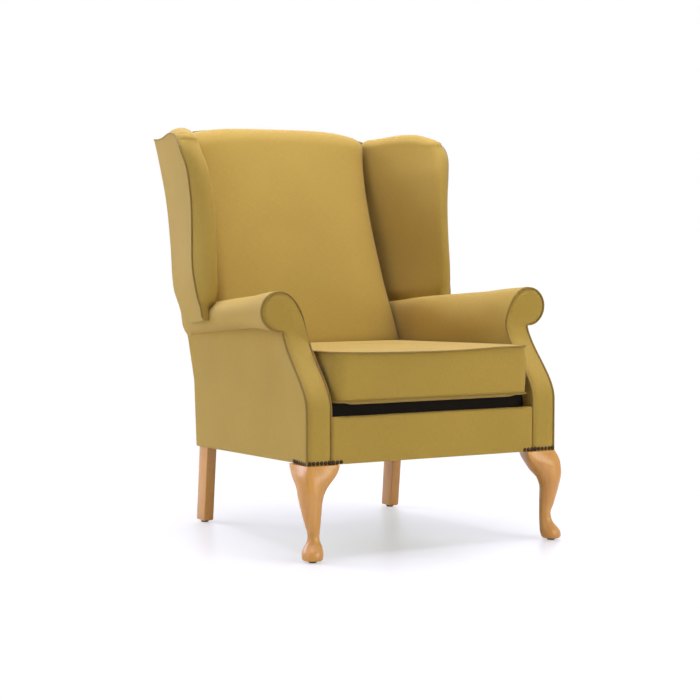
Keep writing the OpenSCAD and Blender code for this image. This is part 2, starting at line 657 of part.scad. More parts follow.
// Inside of the arm with its roll: a cross-section carried along the arm. Each entry
// is [across, height]; across is a share up to the roll's middle, then a place
arm_end = 6;
arm_y0 = roll_y0 + over / 2;
arm_y1 = post_y(cusp_z) - arm_end;
function arm_section(y) = let (c = roll_x(y), z = roll_z(y), h = roll_h(y), r = roll_reach(y),
        low = z - curl_share * h, cut = z - h)
    concat([[0, pad_low]],
        [for (t = shares(9)) [0, mix(lean_low, low, t)]],
        [for (a = [9, 18, 36, 54, 72, 90]) [1 - cos(a), low + (z + h - low) * sin(a)]],
        [for (a = [19 : 19 : 190]) [c + r * sin(a), z + h * cos(a)]],
        [[side_x(y) - panel_t - over, cut]],
        [for (t = shares(9)) [-1, mix(cut - gap, lean_low, t)]], [[-1, pad_low]]);
module arm_pad(left) {
    along = [0, 0.02, 0.08, 0.16, 0.26, 0.38, 0.5, 0.63, 0.76, 0.88, 1];
    front = behind(lean_high, facing_t + board_t);
    color("darkkhaki") both(left) loft([for (s = along)
        let (nominal = arm_section(mix(arm_y0, arm_y1, s)))
        [for (k = [0 : len(nominal) - 1]) let (
                y0 = k > 11 && k < 28 ? front : behind(nominal[k][1], facing_t + board_t),
                y = mix(y0 + over / 2, post_y(nominal[k][1]) - arm_end, s),
                place = arm_section(y)[k], a = place[0],
                x = a < 0 ? inner_x(y) + arm_pad_t * mix(1, 0.64, y / body_d)
                    : a > 1 ? a : mix(inner_x(y), roll_x(y), a))
            [x, y, place[1]]]]);
}
module outside_arm(left) {
    along = [0, 0.03, 0.12, 0.25, 0.4, 0.55, 0.7, 0.85, 1];
    up = concat([underside_z], front_levels, [cusp_z - over]);
    function face(s, d) = [for (h = up) let (
            v = (h - underside_z) / (cusp_z - over - underside_z),
            yn = mix(roll_y0, rear_y(curl_low), s),
            z = mix(under_z(mix(0, body_d, s)), roll_under(yn) - gap, v),
            y = mix(behind(z, facing_t + board_t) + 2 * gap, rear_y(z), s))
        [side_x(min(y, body_d)) - d, y, z]];
    color("darkkhaki") both(left)
        sheet([for (s = along) face(s, 0)], [for (s = along) face(s, panel_t)]);
}

back_crown = 10;
back_edge = 6;
function crest(x) = crest_z - crest_fall * pow(abs(x) / (back_half + crest_fall), 2.7);
crest_round = 50;
module back_pad() {
    stations = [-1, -0.97, -0.85, -0.65, -0.4, 0, 0.4, 0.65, 0.85, 0.97, 1];
    rises = [0.05, 0.15, 0.3, 0.45, 0.6, 0.75, 0.88, 1];
    color("darkkhaki") at_origin() loft(flip([for (s = stations) let (
            x = s * (back_half - gap), top = crest(x), zc = top - crest_round,
            edge = abs(s) > 0.99 ? back_edge : 0,
            front = back_y(zc) + edge)
        concat([[x, seat_d, platform_top + gap], [x, seat_d, seat_z]],
            [for (t = rises) let (z = mix(seat_z, zc, t))
                [x, back_y(z) + edge - back_crown * sin(180 * pow(t, 0.8)) * (1 - s * s), z]],
            [for (a = [20, 45, 70, 90])
                [x, front + crest_round * (1 - cos(a)), zc + crest_round * sin(a)]],
            [[x, post_y(top) - gap, top - gap], [x, post_y(top) - gap, post_top + gap],
                [x, post_y(post_top) - web_t - 2 * gap, post_top],
                [x, post_y(bend_z) - web_t - 2 * gap, bend_z],
                [x, post_y(platform_top) - web_t - 2 * gap, platform_top + gap]])]));
}
// Inside face of the wing's outside panel at a height and depth
function wing_inside(z, y) = wing_at(z, wing_t(z, y), panel_t + 2 * gap)[0];
crest_roll = 26;
module crest_pad() {
    low = post_top + gap;
    across = [-1, -0.95, -0.85, -0.7, -0.5, -0.25, 0, 0.25, 0.5, 0.7, 0.85, 0.95, 1];
    color("darkkhaki") at_origin() loft(flip([for (t = across) let (
            xe = t * wing_inside(low, rear_y(low)), top = crest(xe),
            y0 = post_y(top) + gap, y1 = rear_y(low), x = t * wing_inside(low, y0))
        [[x, y0, low], [x, y0, top - gap], [mix(x, xe, 0.4), mix(y0, y1, 0.4), top - crest_roll * 0.12],
            [mix(x, xe, 0.75), mix(y0, y1, 0.75), max(low + 2 * over, top - crest_roll * 0.4)],
            [xe, y1, max(low + over, top - crest_roll)], [xe, y1, low]]]));
}
module outside_back() {
    zu = under_z(body_d);
    levels = concat([zu, corner_low],
        [for (t = [0.09 : 0.09 : 0.93]) mix(corner_low, wing_z, t)], [post_top]);
    half = [for (z = levels)
        z > corner_low ? wing_inside(z, rear_y(z)) : rear_w / 2 - panel_t - gap];
    last = len(levels) - 1;
    color("darkkhaki") at_origin() intersection() {
        translate([-rear_w, 0, 0]) rotate([90, 0, 90]) linear_extrude(2 * rear_w)
            polygon([[rear_y(zu) - panel_t, zu], [rear_y(zu), zu],
                [rear_y(bend_z), bend_z], [rear_y(post_top), post_top],
                [rear_y(post_top) - panel_t, post_top], [rear_y(bend_z) - panel_t, bend_z]]);
        rotate([90, 0, 0]) linear_extrude(4 * body_d, center = true)
            polygon(concat([for (i = [0 : last]) [half[i], levels[i]]],
                [for (i = [last : -1 : 0]) [-half[i], levels[i]]]));
    }
}
dust_t = 1.5;
module dust_cover() {
    y0 = rail_y + over;
    post = post_y(under_z(body_d)) - over;
    y1 = post + post_d;
    lift = rail_up - dust_t - gap;
    function half(y) = side_x(y) - panel_t - gap - over;
    notch = post_x - post_t - over;
    plan = [[half(y0), y0], [half(post), post], [notch, post], [notch, y1]];
    color("black") at_origin() difference() {
        intersection() {
            translate([-front_w, 0, 0]) rotate([90, 0, 90]) linear_extrude(2 * front_w)
                polygon([[y0, underside_z + lift], [leg_block, underside_z + lift],
                    [y1, under_z(y1) + lift], [y1, under_z(y1) + lift + dust_t],
                    [leg_block, underside_z + lift + dust_t], [y0, underside_z + lift + dust_t]]);
            linear_extrude(crest_z) polygon(concat(plan, [for (p = flip(plan)) [-p[0], p[1]]]));
        }
        for (side = [-1, 1]) translate([side * bolt_at()[0], bolt_at()[1], 0])
            cylinder(d = bolt_d + 2 * gap, h = crest_z);
    }
}
module wing_piping(left) {
    d = piping_d / 2 + gap / 2;
    high = wing_top(wing_lip(wing_z)) - groove;
    backs = [0.014, 0.05, 0.12, 0.2, 0.3, 0.45, 0.6, 0.8, 0.97];
    color("goldenrod") both(left) cord(concat(
        [for (v = wing_levels) let (z = mix(wing_foot, high, v), p = wing_at(z, wing_lip(z) * 0.45, d))
            [p[0], p[1], z]],
        [for (t = backs) let (z = wing_top(t) - d, p = wing_at(z, t, d)) [p[0], p[1], z]]),
        piping_d);
}

// Decorative nails along the body's lower edge over the front legs
nail_h = 2.6;
nail_z = underside_z + nail_d * 0.55;
front_nails = 9;
side_nails = 7;
nail_pitch_share = 1.08;
module nail() {
    color("dimgray") rotate_extrude() intersection() {
        translate([0, nail_h - nail_d]) circle(nail_d);
        square([nail_d / 2, nail_h]);
    }
}
module nail_studs() {
    pitch = nail_d * nail_pitch_share;
    color("dimgray") for (left = [false, true]) both(left) {
        for (i = [0 : front_nails - 1])
            translate([front_w / 2 - pitch * (i + 1), -gap / 3, nail_z]) rotate([90, 0, 0]) nail();
        for (i = [0 : side_nails - 1]) let (y = facing_t + board_t + pitch * (i + 0.8))
            translate([side_x(y) + gap / 3, y, nail_z]) rotate([0, 0, taper]) rotate([0, 90, 0])
            nail();
    }
}

module glide() {
    rotate_extrude() polygon([[0, 0], [glide_d / 2 - glide_h / 4, 0], [glide_d / 2, glide_h / 4],
        [glide_d / 2, glide_h], [0, glide_h]]);
}
module foot_glides() {
    foot = leg_ring(leg_shares[len(leg_shares) - 1]);
    middle = (foot[0] + foot[leg_sides / 2]) / 2;
    rear = post_y(under_z(body_d)) + rear_splay + post_d / 2;
    color("dimgray") for (left = [false, true]) both(left) {
        translate([middle[0], middle[1], 0]) glide();
        translate([post_x - post_t / 2, rear, 0]) glide();
    }
}

// Seat cushion
cushion_over = 3;
cushion_y0 = -cushion_over;
cushion_y1 = seat_d - cushion_gap - over;
cushion_cut = 4;
function cushion_half(v) = mix(inner_x(0), inner_x(cushion_y1), v) - cushion_gap
    - cushion_draw * sin(180 * v);
function cushion_top(v) = cushion_z + cushion_t - cushion_fall * v;
// Cross-section of the cushion at a share of its depth, drawn in by o
function cushion_ring(v, o, cut = 0) = let (
        y = mix(cushion_y0, cushion_y1, v), w = cushion_half(v) - o - cut,
        top = cushion_top(v) - o - cut, low = cushion_z + o + cut,
        c = cut > 0 ? cushion_cut / 4 : cushion_cut, swell = 1 - pow(2 * v - 1, 4),
        s = [-1, -0.75, -0.4, 0, 0.4, 0.75, 1])
    concat([for (t = s) [t * (w - c), low - cushion_sag * swell * (1 - t * t * t * t)]],
        [[w, low + c], [w + c / 2, (top + low) / 2], [w, top - c]],
        [for (i = [6 : -1 : 0]) [s[i] * (w - c), top + cushion_crown * swell * (1 - s[i] * s[i])]],
        [[-w, top - c], [-w - c / 2, (top + low) / 2], [-w, low + c]]);
function cushion_at(v, o, y, cut = 0) = [for (p = cushion_ring(v, o, cut)) [p[0], y, p[1]]];
cushion_steps = [0.1, 0.25, 0.4, 0.55, 0.7, 0.85, 0.95];
function shrink(ring, k) = let (c = mean([for (p = ring) p[2]]), w = mean([for (p = ring) p[0]]))
    [for (p = ring) [mix(w, p[0], k), p[1], mix(c, p[2], k)]];
function cushion_span(o, y0, y1) = concat(
    [cushion_at(0, o, y0, cushion_cut), cushion_at(0, o, y0 + cushion_cut)],
    [for (v = cushion_steps) cushion_at(v, o, mix(cushion_y0, cushion_y1, v))],
    [cushion_at(1, o, y1 - cushion_cut), cushion_at(1, o, y1, cushion_cut)]);
function push(ring, d) = [for (p = ring) [p[0], p[1] + d, p[2]]];
module cushion_cover() {
    outer = cushion_span(0, cushion_y0, cushion_y1);
    inner = cushion_span(cover_t, cushion_y0 + cover_t, cushion_y1);
    color("khaki") at_origin() loft(flip(concat(
        [push(shrink(outer[0], 0.5), -over)], outer, flip(inner))));
}
zip_panel_t = 2;
module cushion_core() {
    o = cover_t + over / 2;
    color("lightyellow") at_origin()
        loft(flip(cushion_span(o, cushion_y0 + o, cushion_y1 - zip_panel_t - gap)));
}
module cushion_zip_panel() {
    ring = cushion_at(1, cover_t + gap, cushion_y1, cushion_cut);
    color("khaki") at_origin() loft([ring, push(ring, -zip_panel_t)]);
}
// The zip stops short of the cushion's rear corners
zip_in = 28;
zip_l = 2 * (cushion_half(1) - zip_in);
zip_w = 14;
zip_t = 0.8;
zip_z = cushion_z + cushion_t / 2 - cushion_fall / 2;
module cushion_zip() {
    color("goldenrod") at_origin() translate([-zip_l / 2, cushion_y1 + gap / 3, zip_z - zip_w / 2])
        cube([zip_l, zip_t, zip_w]);
}
slider_w = 9;
slider_h = 7;
slider_t = 1.8;
tab_l = 16;
module zip_slider() {
    y = cushion_y1 + gap / 3 + zip_t + gap / 3;
    color("gold") at_origin() translate([-zip_l / 2 + slider_w, y, zip_z]) union() {
        translate([-slider_w / 2, 0, -slider_h / 2]) cube([slider_w, slider_t, slider_h]);
        translate([-slider_h / 4, slider_t / 3, -tab_l]) cube([slider_h / 2, slider_t / 2, tab_l]);
    }
}
function edge_z(v, lift) = mix(cushion_z, cushion_top(v), lift);
module cushion_piping() {
    vs = [0.1, 0.25, 0.4, 0.55, 0.7, 0.85];
    color("goldenrod") at_origin() for (lift = [0, 1]) {
        right = concat(
            [[cushion_half(0) - cushion_cut, cushion_y0, edge_z(0, lift)],
                [cushion_half(0), cushion_y0 + cushion_cut, edge_z(0, lift)]],
            [for (v = vs) [cushion_half(v), mix(cushion_y0, cushion_y1, v), edge_z(v, lift)]],
            [[cushion_half(1), cushion_y1 - cushion_cut, edge_z(1, lift)],
                [cushion_half(1) - cushion_cut, cushion_y1, edge_z(1, lift)]]);
        left = [for (i = [len(right) - 1 : -1 : 0]) [-right[i][0], right[i][1], right[i][2]]];
        middle = [for (t = [0.5, 0, -0.5]) [t * cushion_half(1), cushion_y1, edge_z(1, lift)]];
        front = [for (t = [-0.5, 0, 0.5]) [t * cushion_half(0), cushion_y0, edge_z(0, lift)]];
        cord(concat(right, middle, left, front), piping_d, true);
    }
}

front_rail();
rear_rail();
side_rail(true);  // side_rail_left
side_rail(false);  // side_rail_right
corner_blocks();
front_leg(true);  // front_leg_left
front_leg(false);  // front_leg_right
leg_bolts();
back_post(true);  // back_post_left
back_post(false);  // back_post_right
crest_rail();
back_lower_rail();
arm_post(true);  // arm_post_left
arm_post(false);  // arm_post_right
arm_rail(true);  // arm_rail_left
arm_rail(false);  // arm_rail_right
arm_stuffing_rail(true);  // arm_stuffing_rail_left
arm_stuffing_rail(false);  // arm_stuffing_rail_right
wing_post(true);  // wing_post_left
wing_post(false);  // wing_post_right
wing_rail(true);  // wing_rail_left
wing_rail(false);  // wing_rail_right
seat_springs();
spring_plates();
spring_pad();
platform_cloth();
back_webbing();
front_border();
arm_pad(true);  // arm_pad_left
arm_pad(false);  // arm_pad_right
facing_board(true);  // facing_board_left
facing_board(false);  // facing_board_right
arm_facing(true);  // arm_facing_left
arm_facing(false);  // arm_facing_right
outside_arm(true);  // outside_arm_left
outside_arm(false);  // outside_arm_right
wing_pad(true);  // wing_pad_left
wing_pad(false);  // wing_pad_right
outside_wing(true);  // outside_wing_left
outside_wing(false);  // outside_wing_right
back_pad();
crest_pad();
outside_back();
dust_cover();
facing_piping(true);  // facing_piping_left
facing_piping(false);  // facing_piping_right
wing_piping(true);  // wing_piping_left
wing_piping(false);  // wing_piping_right
nail_studs();
foot_glides();
cushion_cover();
cushion_core();
cushion_zip_panel();
cushion_zip();
zip_slider();
cushion_piping();
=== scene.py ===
"""Dresses the fireside chair: padding and covers, piping, polished legs, nails and linings.

Lengths are in metres, z up from the floor; y in the shape functions runs back from the
front border, and place() moves each finished piece into the part's own frame.
"""
import json
from math import atan2, copysign, cos, hypot, pi, radians, sin, sqrt, tan

import bmesh
import bpy
from mathutils import Matrix, Vector, noise


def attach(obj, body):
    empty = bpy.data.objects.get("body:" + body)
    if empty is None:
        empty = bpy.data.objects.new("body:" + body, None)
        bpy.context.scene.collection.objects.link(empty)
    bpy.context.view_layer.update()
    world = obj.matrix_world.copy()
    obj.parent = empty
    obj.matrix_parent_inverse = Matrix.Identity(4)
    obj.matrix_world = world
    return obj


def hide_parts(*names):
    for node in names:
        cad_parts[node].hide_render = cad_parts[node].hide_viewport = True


bl_info = {
    "name": "Fireside chair",
    "version": (1, 0, 0),
    "blender": (4, 5, 0),
    "location": "3D View > Sidebar > Chair",
    "description": "Upholstered wing chair with a loose seat cushion and cabriole legs",
    "category": "Object",
}

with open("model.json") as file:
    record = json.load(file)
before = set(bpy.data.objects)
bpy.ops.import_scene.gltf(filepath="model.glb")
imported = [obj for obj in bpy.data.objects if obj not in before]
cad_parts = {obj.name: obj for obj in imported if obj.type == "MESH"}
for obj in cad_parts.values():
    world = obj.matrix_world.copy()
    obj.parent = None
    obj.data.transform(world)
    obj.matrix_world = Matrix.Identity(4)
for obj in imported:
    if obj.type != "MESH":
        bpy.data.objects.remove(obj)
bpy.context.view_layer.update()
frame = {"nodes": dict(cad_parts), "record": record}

# From the front border to the middle of the chair's depth, where the part's frame is
DEPTH_MID = 0.4373


def length(name, description, default):
    return bpy.props.FloatProperty(name=name, description=description, default=default, unit='LENGTH')


def shade(name, description, default):
    return bpy.props.FloatVectorProperty(name=name, description=description, default=default,
                                         subtype='COLOR')


class ChairSizes(bpy.types.PropertyGroup):
    front_w: length("Front width", "Width across the outsides of the body at the front", 0.676)
    rear_w: length("Rear width", "Width across the outsides of the body at the rear", 0.590)
    body_d: length("Body depth", "Depth of the body at its underside", 0.678)
    under: length("Underside", "Height of the body's underside at the front", 0.216)
    drop: length("Underside drop", "How much lower the underside is at the rear", 0.021)
    facing_w: length("Facing width", "Width of an arm facing below its scroll", 0.0635)
    border_h: length("Border height", "Height of the front border", 0.1075)
    arm_z: length("Arm height", "Height of the top of the arm scroll", 0.604)
    scroll_r: length("Scroll radius", "Radius of the arm scroll", 0.046)
    scroll_x: length("Scroll place", "Distance of the scroll's centre from the middle", 0.344)
    arm_lean: length("Arm lean", "How far the scroll stands back from the border", 0.118)
    seat_d: length("Seat depth", "Depth of the seat to the inside back", 0.566)
    rake: bpy.props.FloatProperty(name="Rake", description="Lean of the inside back",
                                  default=radians(20.7), unit='ROTATION')
    crest_z: length("Crest height", "Height of the crest at its middle", 1.012)
    wing_x: length("Wing edge", "Distance of the wing's outer front edge from the middle", 0.375)
    wing_z: length("Wing height", "Height of the wing's highest point", 1.003)
    wing_reach: length("Wing reach", "How far the wings come forward of the inside back", 0.190)
    cushion_z: length("Cushion underside", "Height of the cushion's underside", 0.355)
    cushion_t: length("Cushion thickness", "Thickness of the cushion at its front edge", 0.115)
    crown: length("Cushion crown", "Swell of the cushion's top", 0.007)
    piping_d: length("Piping", "Diameter of the piping", 0.0044)


class ChairColours(bpy.types.PropertyGroup):
    cover: shade("Cover", "Colour of the cover cloth", (0.405, 0.268, 0.047))
    # The piping is the cover's own cloth, but its colour is set darker than the cover's: painted shade
    # for the shadowed seam lines along the piping
    piping: shade("Piping", "Colour of the piping", (0.27, 0.175, 0.040))
    wood: shade("Show wood", "Colour of the polished legs", (0.64, 0.305, 0.050))
    nails: shade("Nails", "Colour of the nail heads", (0.045, 0.028, 0.018))
    lining: shade("Lining", "Colour of the platform and dust cloths", (0.016, 0.012, 0.009))


def sizes():
    return bpy.context.scene.chair_sizes


def mix(a, b, t):
    return a + (b - a) * t


def within(t):
    return min(1.0, max(0.0, t))


def smooth(t):
    c = within(t)
    return c * c * (3 - 2 * c)


def steps(a, b, n):
    """Evenly spaced values from a to b, with both ends."""
    return [mix(a, b, k / n) for k in range(n + 1)]


def both_ends(inner, n, *outer):
    """Stations from -1 to 1 that lie closer together at both ends."""
    return [-t for t in outer[::-1]] + steps(-inner, inner, n) + list(outer)


def through(rows, x):
    """A smooth curve through (x, value) rows."""
    n = len(rows)
    if x <= rows[0][0]:
        return rows[0][1]
    if x >= rows[-1][0]:
        return rows[-1][1]
    i = next(k for k in range(n - 1) if rows[k + 1][0] >= x)
    def slope(k):
        a, b = rows[max(0, k - 1)], rows[min(n - 1, k + 1)]
        return (b[1] - a[1]) / (b[0] - a[0])
    (x0, y0), (x1, y1) = rows[i], rows[i + 1]
    h, t = x1 - x0, (x - x0) / (x1 - x0)
    return ((2 * t ** 3 - 3 * t * t + 1) * y0 + (t ** 3 - 2 * t * t + t) * h * slope(i)
            + (3 * t * t - 2 * t ** 3) * y1 + (t ** 3 - t * t) * h * slope(i + 1))


def bezier(a, b, c, d, t):
    return (1 - t) ** 3 * a + 3 * t * (1 - t) ** 2 * b + 3 * t * t * (1 - t) * c + t ** 3 * d


# The body's lines

FACING_T, BOARD_T, PANEL_T = 0.008, 0.0055, 0.006
COVER_START = FACING_T - 0.002  # The arm's covers start inside the facing's pad
POST_D, POST_X = 0.048, 0.2887
LEAN_LOW, LEAN_HIGH = 0.340, 0.530
SEAT_Z, BEND_Z, REAR_RAKE, BEND_OUT = 0.457, 0.363, radians(18.8), 0.012
BACK_HALF = 0.246
LEG_BLOCK = 0.088
WRAP_D = 0.09


def lean(z):
    """How far back the arm front lies at a height."""
    return sizes().arm_lean * smooth((z - LEAN_LOW) / (LEAN_HIGH - LEAN_LOW))


def behind(z, d):
    """A surface that lies d behind the arm front."""
    slope = (lean(z + 0.001) - lean(z - 0.001)) / 0.002
    return lean(z) + d * sqrt(1 + slope * slope)


def wrap(gap, y, front):
    """What is left at a depth of the gap between the arm's side and the facing's edge."""
    return gap * (1 - smooth((y - front) / WRAP_D))


def side_x(y):
    s = sizes()
    return mix(s.front_w / 2, s.rear_w / 2, y / s.body_d)


def under_z(y):
    s = sizes()
    return s.under - s.drop * max(0, y - LEG_BLOCK) / (s.body_d - LEG_BLOCK)


def inner_x(y):
    s = sizes()
    return mix(s.front_w / 2 - s.facing_w, BACK_HALF + 0.002, min(1, y / s.seat_d))


def back_y(z):
    s = sizes()
    return s.seat_d + max(0, z - SEAT_Z) * tan(s.rake)


def rear_y(z):
    s = sizes()
    low = s.under - s.drop
    if z < BEND_Z:
        return s.body_d + BEND_OUT * (z - low) / (BEND_Z - low)
    return s.body_d + BEND_OUT + (z - BEND_Z) * tan(REAR_RAKE)


def post_y(z):
    return rear_y(z) - PANEL_T - 0.0003 - POST_D


# The arm roll

ROLL_TURN, ROLL_REAR, ARM_FALL, CURL, ROLL_ROUND = 0.066, 0.0385, 0.050, 1.48, radians(198)


def roll(y):
    """Centre (x, z), half height and reach of the arm roll at a depth."""
    s = sizes()
    end = post_y(s.arm_z - ARM_FALL - s.scroll_r)
    u = within((y - s.arm_lean - FACING_T - BOARD_T) / (end - s.arm_lean + POST_D))
    x = s.scroll_x - ROLL_TURN * (1 - (1 - u) ** 1.5)
    z = s.arm_z - s.scroll_r - ARM_FALL * u ** 1.4
    h = mix(ROLL_REAR, s.scroll_r, 1 - smooth(3.6 * u))
    flare = 0.0013 * (1 - smooth((y - s.arm_lean - FACING_T) / 0.022))
    return x, z, h + flare, s.scroll_r + flare + 0.003 * sin(pi * u) - 0.021 * u ** 5


def squareness(y):
    """How square the arm's inner edge is: round at the scroll, fuller under the wing."""
    return 2 + 2.2 * smooth((y - 0.34) / 0.18)


def arm_top(x, y):
    """Height of the arm's surface over a place."""
    c, z, h, r = roll(y)
    i, q = inner_x(y), squareness(y)
    low = z - CURL * h
    if x > c:
        return z + h * sqrt(max(0, 1 - ((x - c) / r) ** 2))
    return low + (z + h - low) * max(0, 1 - ((c - max(x, i)) / (c - i)) ** q) ** (1 / q)


# The wings: tables of (share of the height or depth, share of the measure), or by height

WING_LOW, WING_FALL = 0.556, 0.020
EDGE_OUT = [(0, 0.966), (0.05, 0.98), (0.105, 0.987), (0.217, 0.992), (0.371, 0.989), (0.5615, 0.991),
            (0.754, 1.013), (0.87, 1.037), (0.955, 1.022), (1, 0.975)]
EDGE_FORWARD = [(0, 0.51), (0.105, 0.54), (0.217, 0.57), (0.371, 0.68), (0.5615, 0.845),
                (0.754, 0.985), (0.87, 0.985), (0.92, 0.92), (0.955, 0.80), (1, 0.56)]
ROLL_FORWARD = [(0, 0.05), (0.05, 0.36), (0.105, 0.7), (0.217, 1), (0.371, 0.98), (0.5615, 0.8),
                (0.754, 0.6), (0.87, 0.5), (0.955, 0.52), (1, 0.5)]
CORNER_OUT = [(0, 0.5), (0.09, 0.516), (0.24, 0.534), (0.44, 0.519), (0.65, 0.509), (0.85, 0.516),
              (1, 0.527)]
WING_TOP = [(0, 0.35), (0.07, 0.1), (0.15, 0), (0.25, 0), (0.35, 0.05), (0.55, 0.3), (0.8, 0.5),
            (1, 0.65)]
WING_EDGE_TOP = [(0, 1.1), (0.07, 0.85), (0.2, 0.72), (0.35, 0.82), (0.55, 1.05), (0.8, 1.1), (1, 0.95)]
SEAM_HALF = [(0.355, 0.256), (0.458, 0.258), (0.55, 0.253), (0.647, 0.250), (0.758, 0.247),
             (0.853, 0.249), (0.94, 0.256), (0.985, 0.262), (1.02, 0.264)]
BROAD = [(0.36, 0.35), (0.5, 0.5), (0.62, 0.9), (0.8, 1), (0.92, 0.8), (0.98, 0.4), (1.02, 0.3)]
VALLEY = [(0.5, 0.020), (0.6, 0.027), (0.7, 0.030), (0.8, 0.025), (0.9, 0.015), (0.97, 0.006),
          (1.02, 0.003)]


def wing_share(rows, z):
    return through(rows, (z - WING_LOW) / (sizes().wing_z - WING_LOW))


def wing_edge(z):
    s = sizes()
    return Vector((s.wing_x * wing_share(EDGE_OUT, z),
                   back_y(z) - s.wing_reach * wing_share(EDGE_FORWARD, z)))


def rear_corner(z):
    s = sizes()
    low = s.cushion_z + s.cushion_t
    return Vector((s.rear_w * through(CORNER_OUT, (z - low) / (s.wing_z - low)), rear_y(z)))


def wing_at(z, t, d):
    """A place in the wing's side: t from its front edge to the rear corner, d inwards."""
    a, b = wing_edge(z), rear_corner(z)
    u = (b - a).normalized()
    return a.lerp(b, t) + d * Vector((-u.y, u.x))


def wing_t(z, y):
    a, b = wing_edge(z), rear_corner(z)
    return (y - a.y) / (b.y - a.y)


def wing_top(t):
    return sizes().wing_z - WING_FALL * through(WING_TOP, within(t))


def wing_edge_top(t):
    return sizes().wing_z - WING_FALL * through(WING_EDGE_TOP, within(t))


def crest(x):
    return sizes().crest_z + 0.0015 - 0.022 * (abs(x) / 0.27) ** 3.4


# Mesh helpers

def skin(bm, rings, caps=True, lengthwise=None, panel=False):
    """Draws an edge loop through a row of sections, and lays the cloth's own map on it.

    A panel's sections go along its outer face and back along its inner face, so its ends
    are closed piece by piece between the two."""
    uv = bm.loops.layers.uv.get("cloth") or bm.loops.layers.uv.new("cloth")
    n = len(rings[0])
    ring = [bm.verts.new(p) for p in rings[0]]
    edges = [bm.edges.new((ring[k], ring[(k + 1) % n])) for k in range(n)]
    first, start = list(edges), list(ring)
    where = {v: (0, k) for k, v in enumerate(ring)}
    across, along = [], [0.0]
    for pts in rings:
        row = [0.0]
        for k in range(n):
            row.append(row[-1] + (Vector(pts[(k + 1) % n]) - Vector(pts[k])).length)
        across.append(row)
    for last, pts in zip(rings, rings[1:]):
        gaps = [(Vector(q) - Vector(p)).length for p, q in zip(last, pts)]
        along.append(along[-1] + (sorted(gaps)[n // 2] if lengthwise is None else gaps[lengthwise]))
    faces = []
    for i in range(1, len(rings)):
        out = bmesh.ops.extrude_edge_only(bm, edges=edges)["geom"]
        new = {g for g in out if isinstance(g, bmesh.types.BMVert)}
        ring = [next(e.other_vert(v) for e in v.link_edges if e.other_vert(v) in new) for v in ring]
        for k, v in enumerate(ring):
            v.co = rings[i][k]
            where[v] = (i, k)
        edges = [g for g in out if isinstance(g, bmesh.types.BMEdge)
                 and g.verts[0] in new and g.verts[1] in new]
        faces += [g for g in out if isinstance(g, bmesh.types.BMFace)]
    for f in faces:
        cols = [where[v][1] for v in f.verts]
        wrap = max(cols) - min(cols) > 1
        for loop in f.loops:
            i, k = where[loop.vert]
            loop[uv].uv = (across[i][n if wrap and k == 0 else k], along[i])
    ends = []
    if panel:
        ends = [[row[k], row[k + 1], row[n - 2 - k], row[n - 1 - k]]
                for row in (start, ring) for k in range(n // 2 - 1)]
    elif caps:
        ends = [first, edges]
    for rim in ends:
        for f in bmesh.ops.contextual_create(bm, geom=rim)["faces"]:
            for loop in f.loops:
                loop[uv].uv = (loop.vert.co.x, loop.vert.co.z)


def panel_rings(stations, rows, thick, point):
    """Sections of a panel: along its outer face, and back along its inner face."""
    return [[point(t, v, d) for d, order in ((0.0, rows), (thick, rows[::-1])) for v in order]
            for t in stations]


CORD_SIDES, CORD_GAP = 10, 0.004


def even(path, closed):
    """The same path with points an even distance apart."""
    pts = [Vector(p) for p in path] + ([Vector(path[0])] if closed else [])
    total = sum((b - a).length for a, b in zip(pts, pts[1:]))
    n = max(2, round(total / CORD_GAP))
    out, i, run = [], 0, 0.0
    for k in range(n if closed else n + 1):
        want = total * k / n
        while i < len(pts) - 2 and run + (pts[i + 1] - pts[i]).length < want:
            run += (pts[i + 1] - pts[i]).length
            i += 1
        step = (pts[i + 1] - pts[i]).length
        out.append(pts[i].lerp(pts[i + 1], min(1, (want - run) / step) if step else 0))
    return out


def cord_rings(path, closed=False):
    """Sections of the piping, which follows a path without twisting."""
    path = even(path, closed)
    r, m = sizes().piping_d / 2, len(path)
    rings = []
    across = None
    for i, p in enumerate(path):
        a = path[(i - 1) % m] if closed else path[max(0, i - 1)]
        b = path[(i + 1) % m] if closed else path[min(m - 1, i + 1)]
        t = (b - a).normalized()
        if across is None:
            across = t.orthogonal().normalized()
        across = (across - t * across.dot(t)).normalized()
        up = t.cross(across)
        rings.append([p + r * (cos(a) * across + sin(a) * up) for a in steps(0, 2 * pi, CORD_SIDES)[:-1]])
    if closed:
        # The last section turns onto the first
        rings.append(min((rings[0][k:] + rings[0][:k] for k in range(CORD_SIDES)),
                         key=lambda ring: sum((x - y).length for x, y in zip(ring, rings[-1]))))
    return rings


def place(bm, name, slot, stands_for, body="chair", fill=None, sharp=45, mirrored=False):
    """Turns a bmesh into a finished piece in the part's frame."""
    if mirrored:
        bmesh.ops.scale(bm, vec=(-1, 1, 1), verts=bm.verts)
    bmesh.ops.remove_doubles(bm, verts=bm.verts, dist=1e-6)
    bmesh.ops.dissolve_degenerate(bm, dist=1e-7, edges=bm.edges)
    bmesh.ops.recalc_face_normals(bm, faces=bm.faces)
    if bm.calc_volume(signed=True) < 0:
        bmesh.ops.reverse_faces(bm, faces=bm.faces)
    bmesh.ops.translate(bm, verts=bm.verts, vec=(0, -DEPTH_MID, 0))
    mesh = bpy.data.meshes.new(name)
    bm.to_mesh(mesh)
    bm.free()
    mesh.shade_smooth()
    mesh.set_sharp_from_angle(angle=radians(sharp))
    mesh.materials.append(finish(slot))
    piece = bpy.data.objects.new(name, mesh)
    bpy.context.scene.collection.objects.link(piece)
    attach(piece, body)
    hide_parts(*stands_for)
    return piece


def loft(name, slot, stands_for, rings, lengthwise=None, panel=False, **rest):
    """One piece drawn through its sections."""
    bm = bmesh.new()
    skin(bm, rings, lengthwise=lengthwise, panel=panel)
    return place(bm, name, slot, stands_for, **rest)


SIDES = ("left", "right")


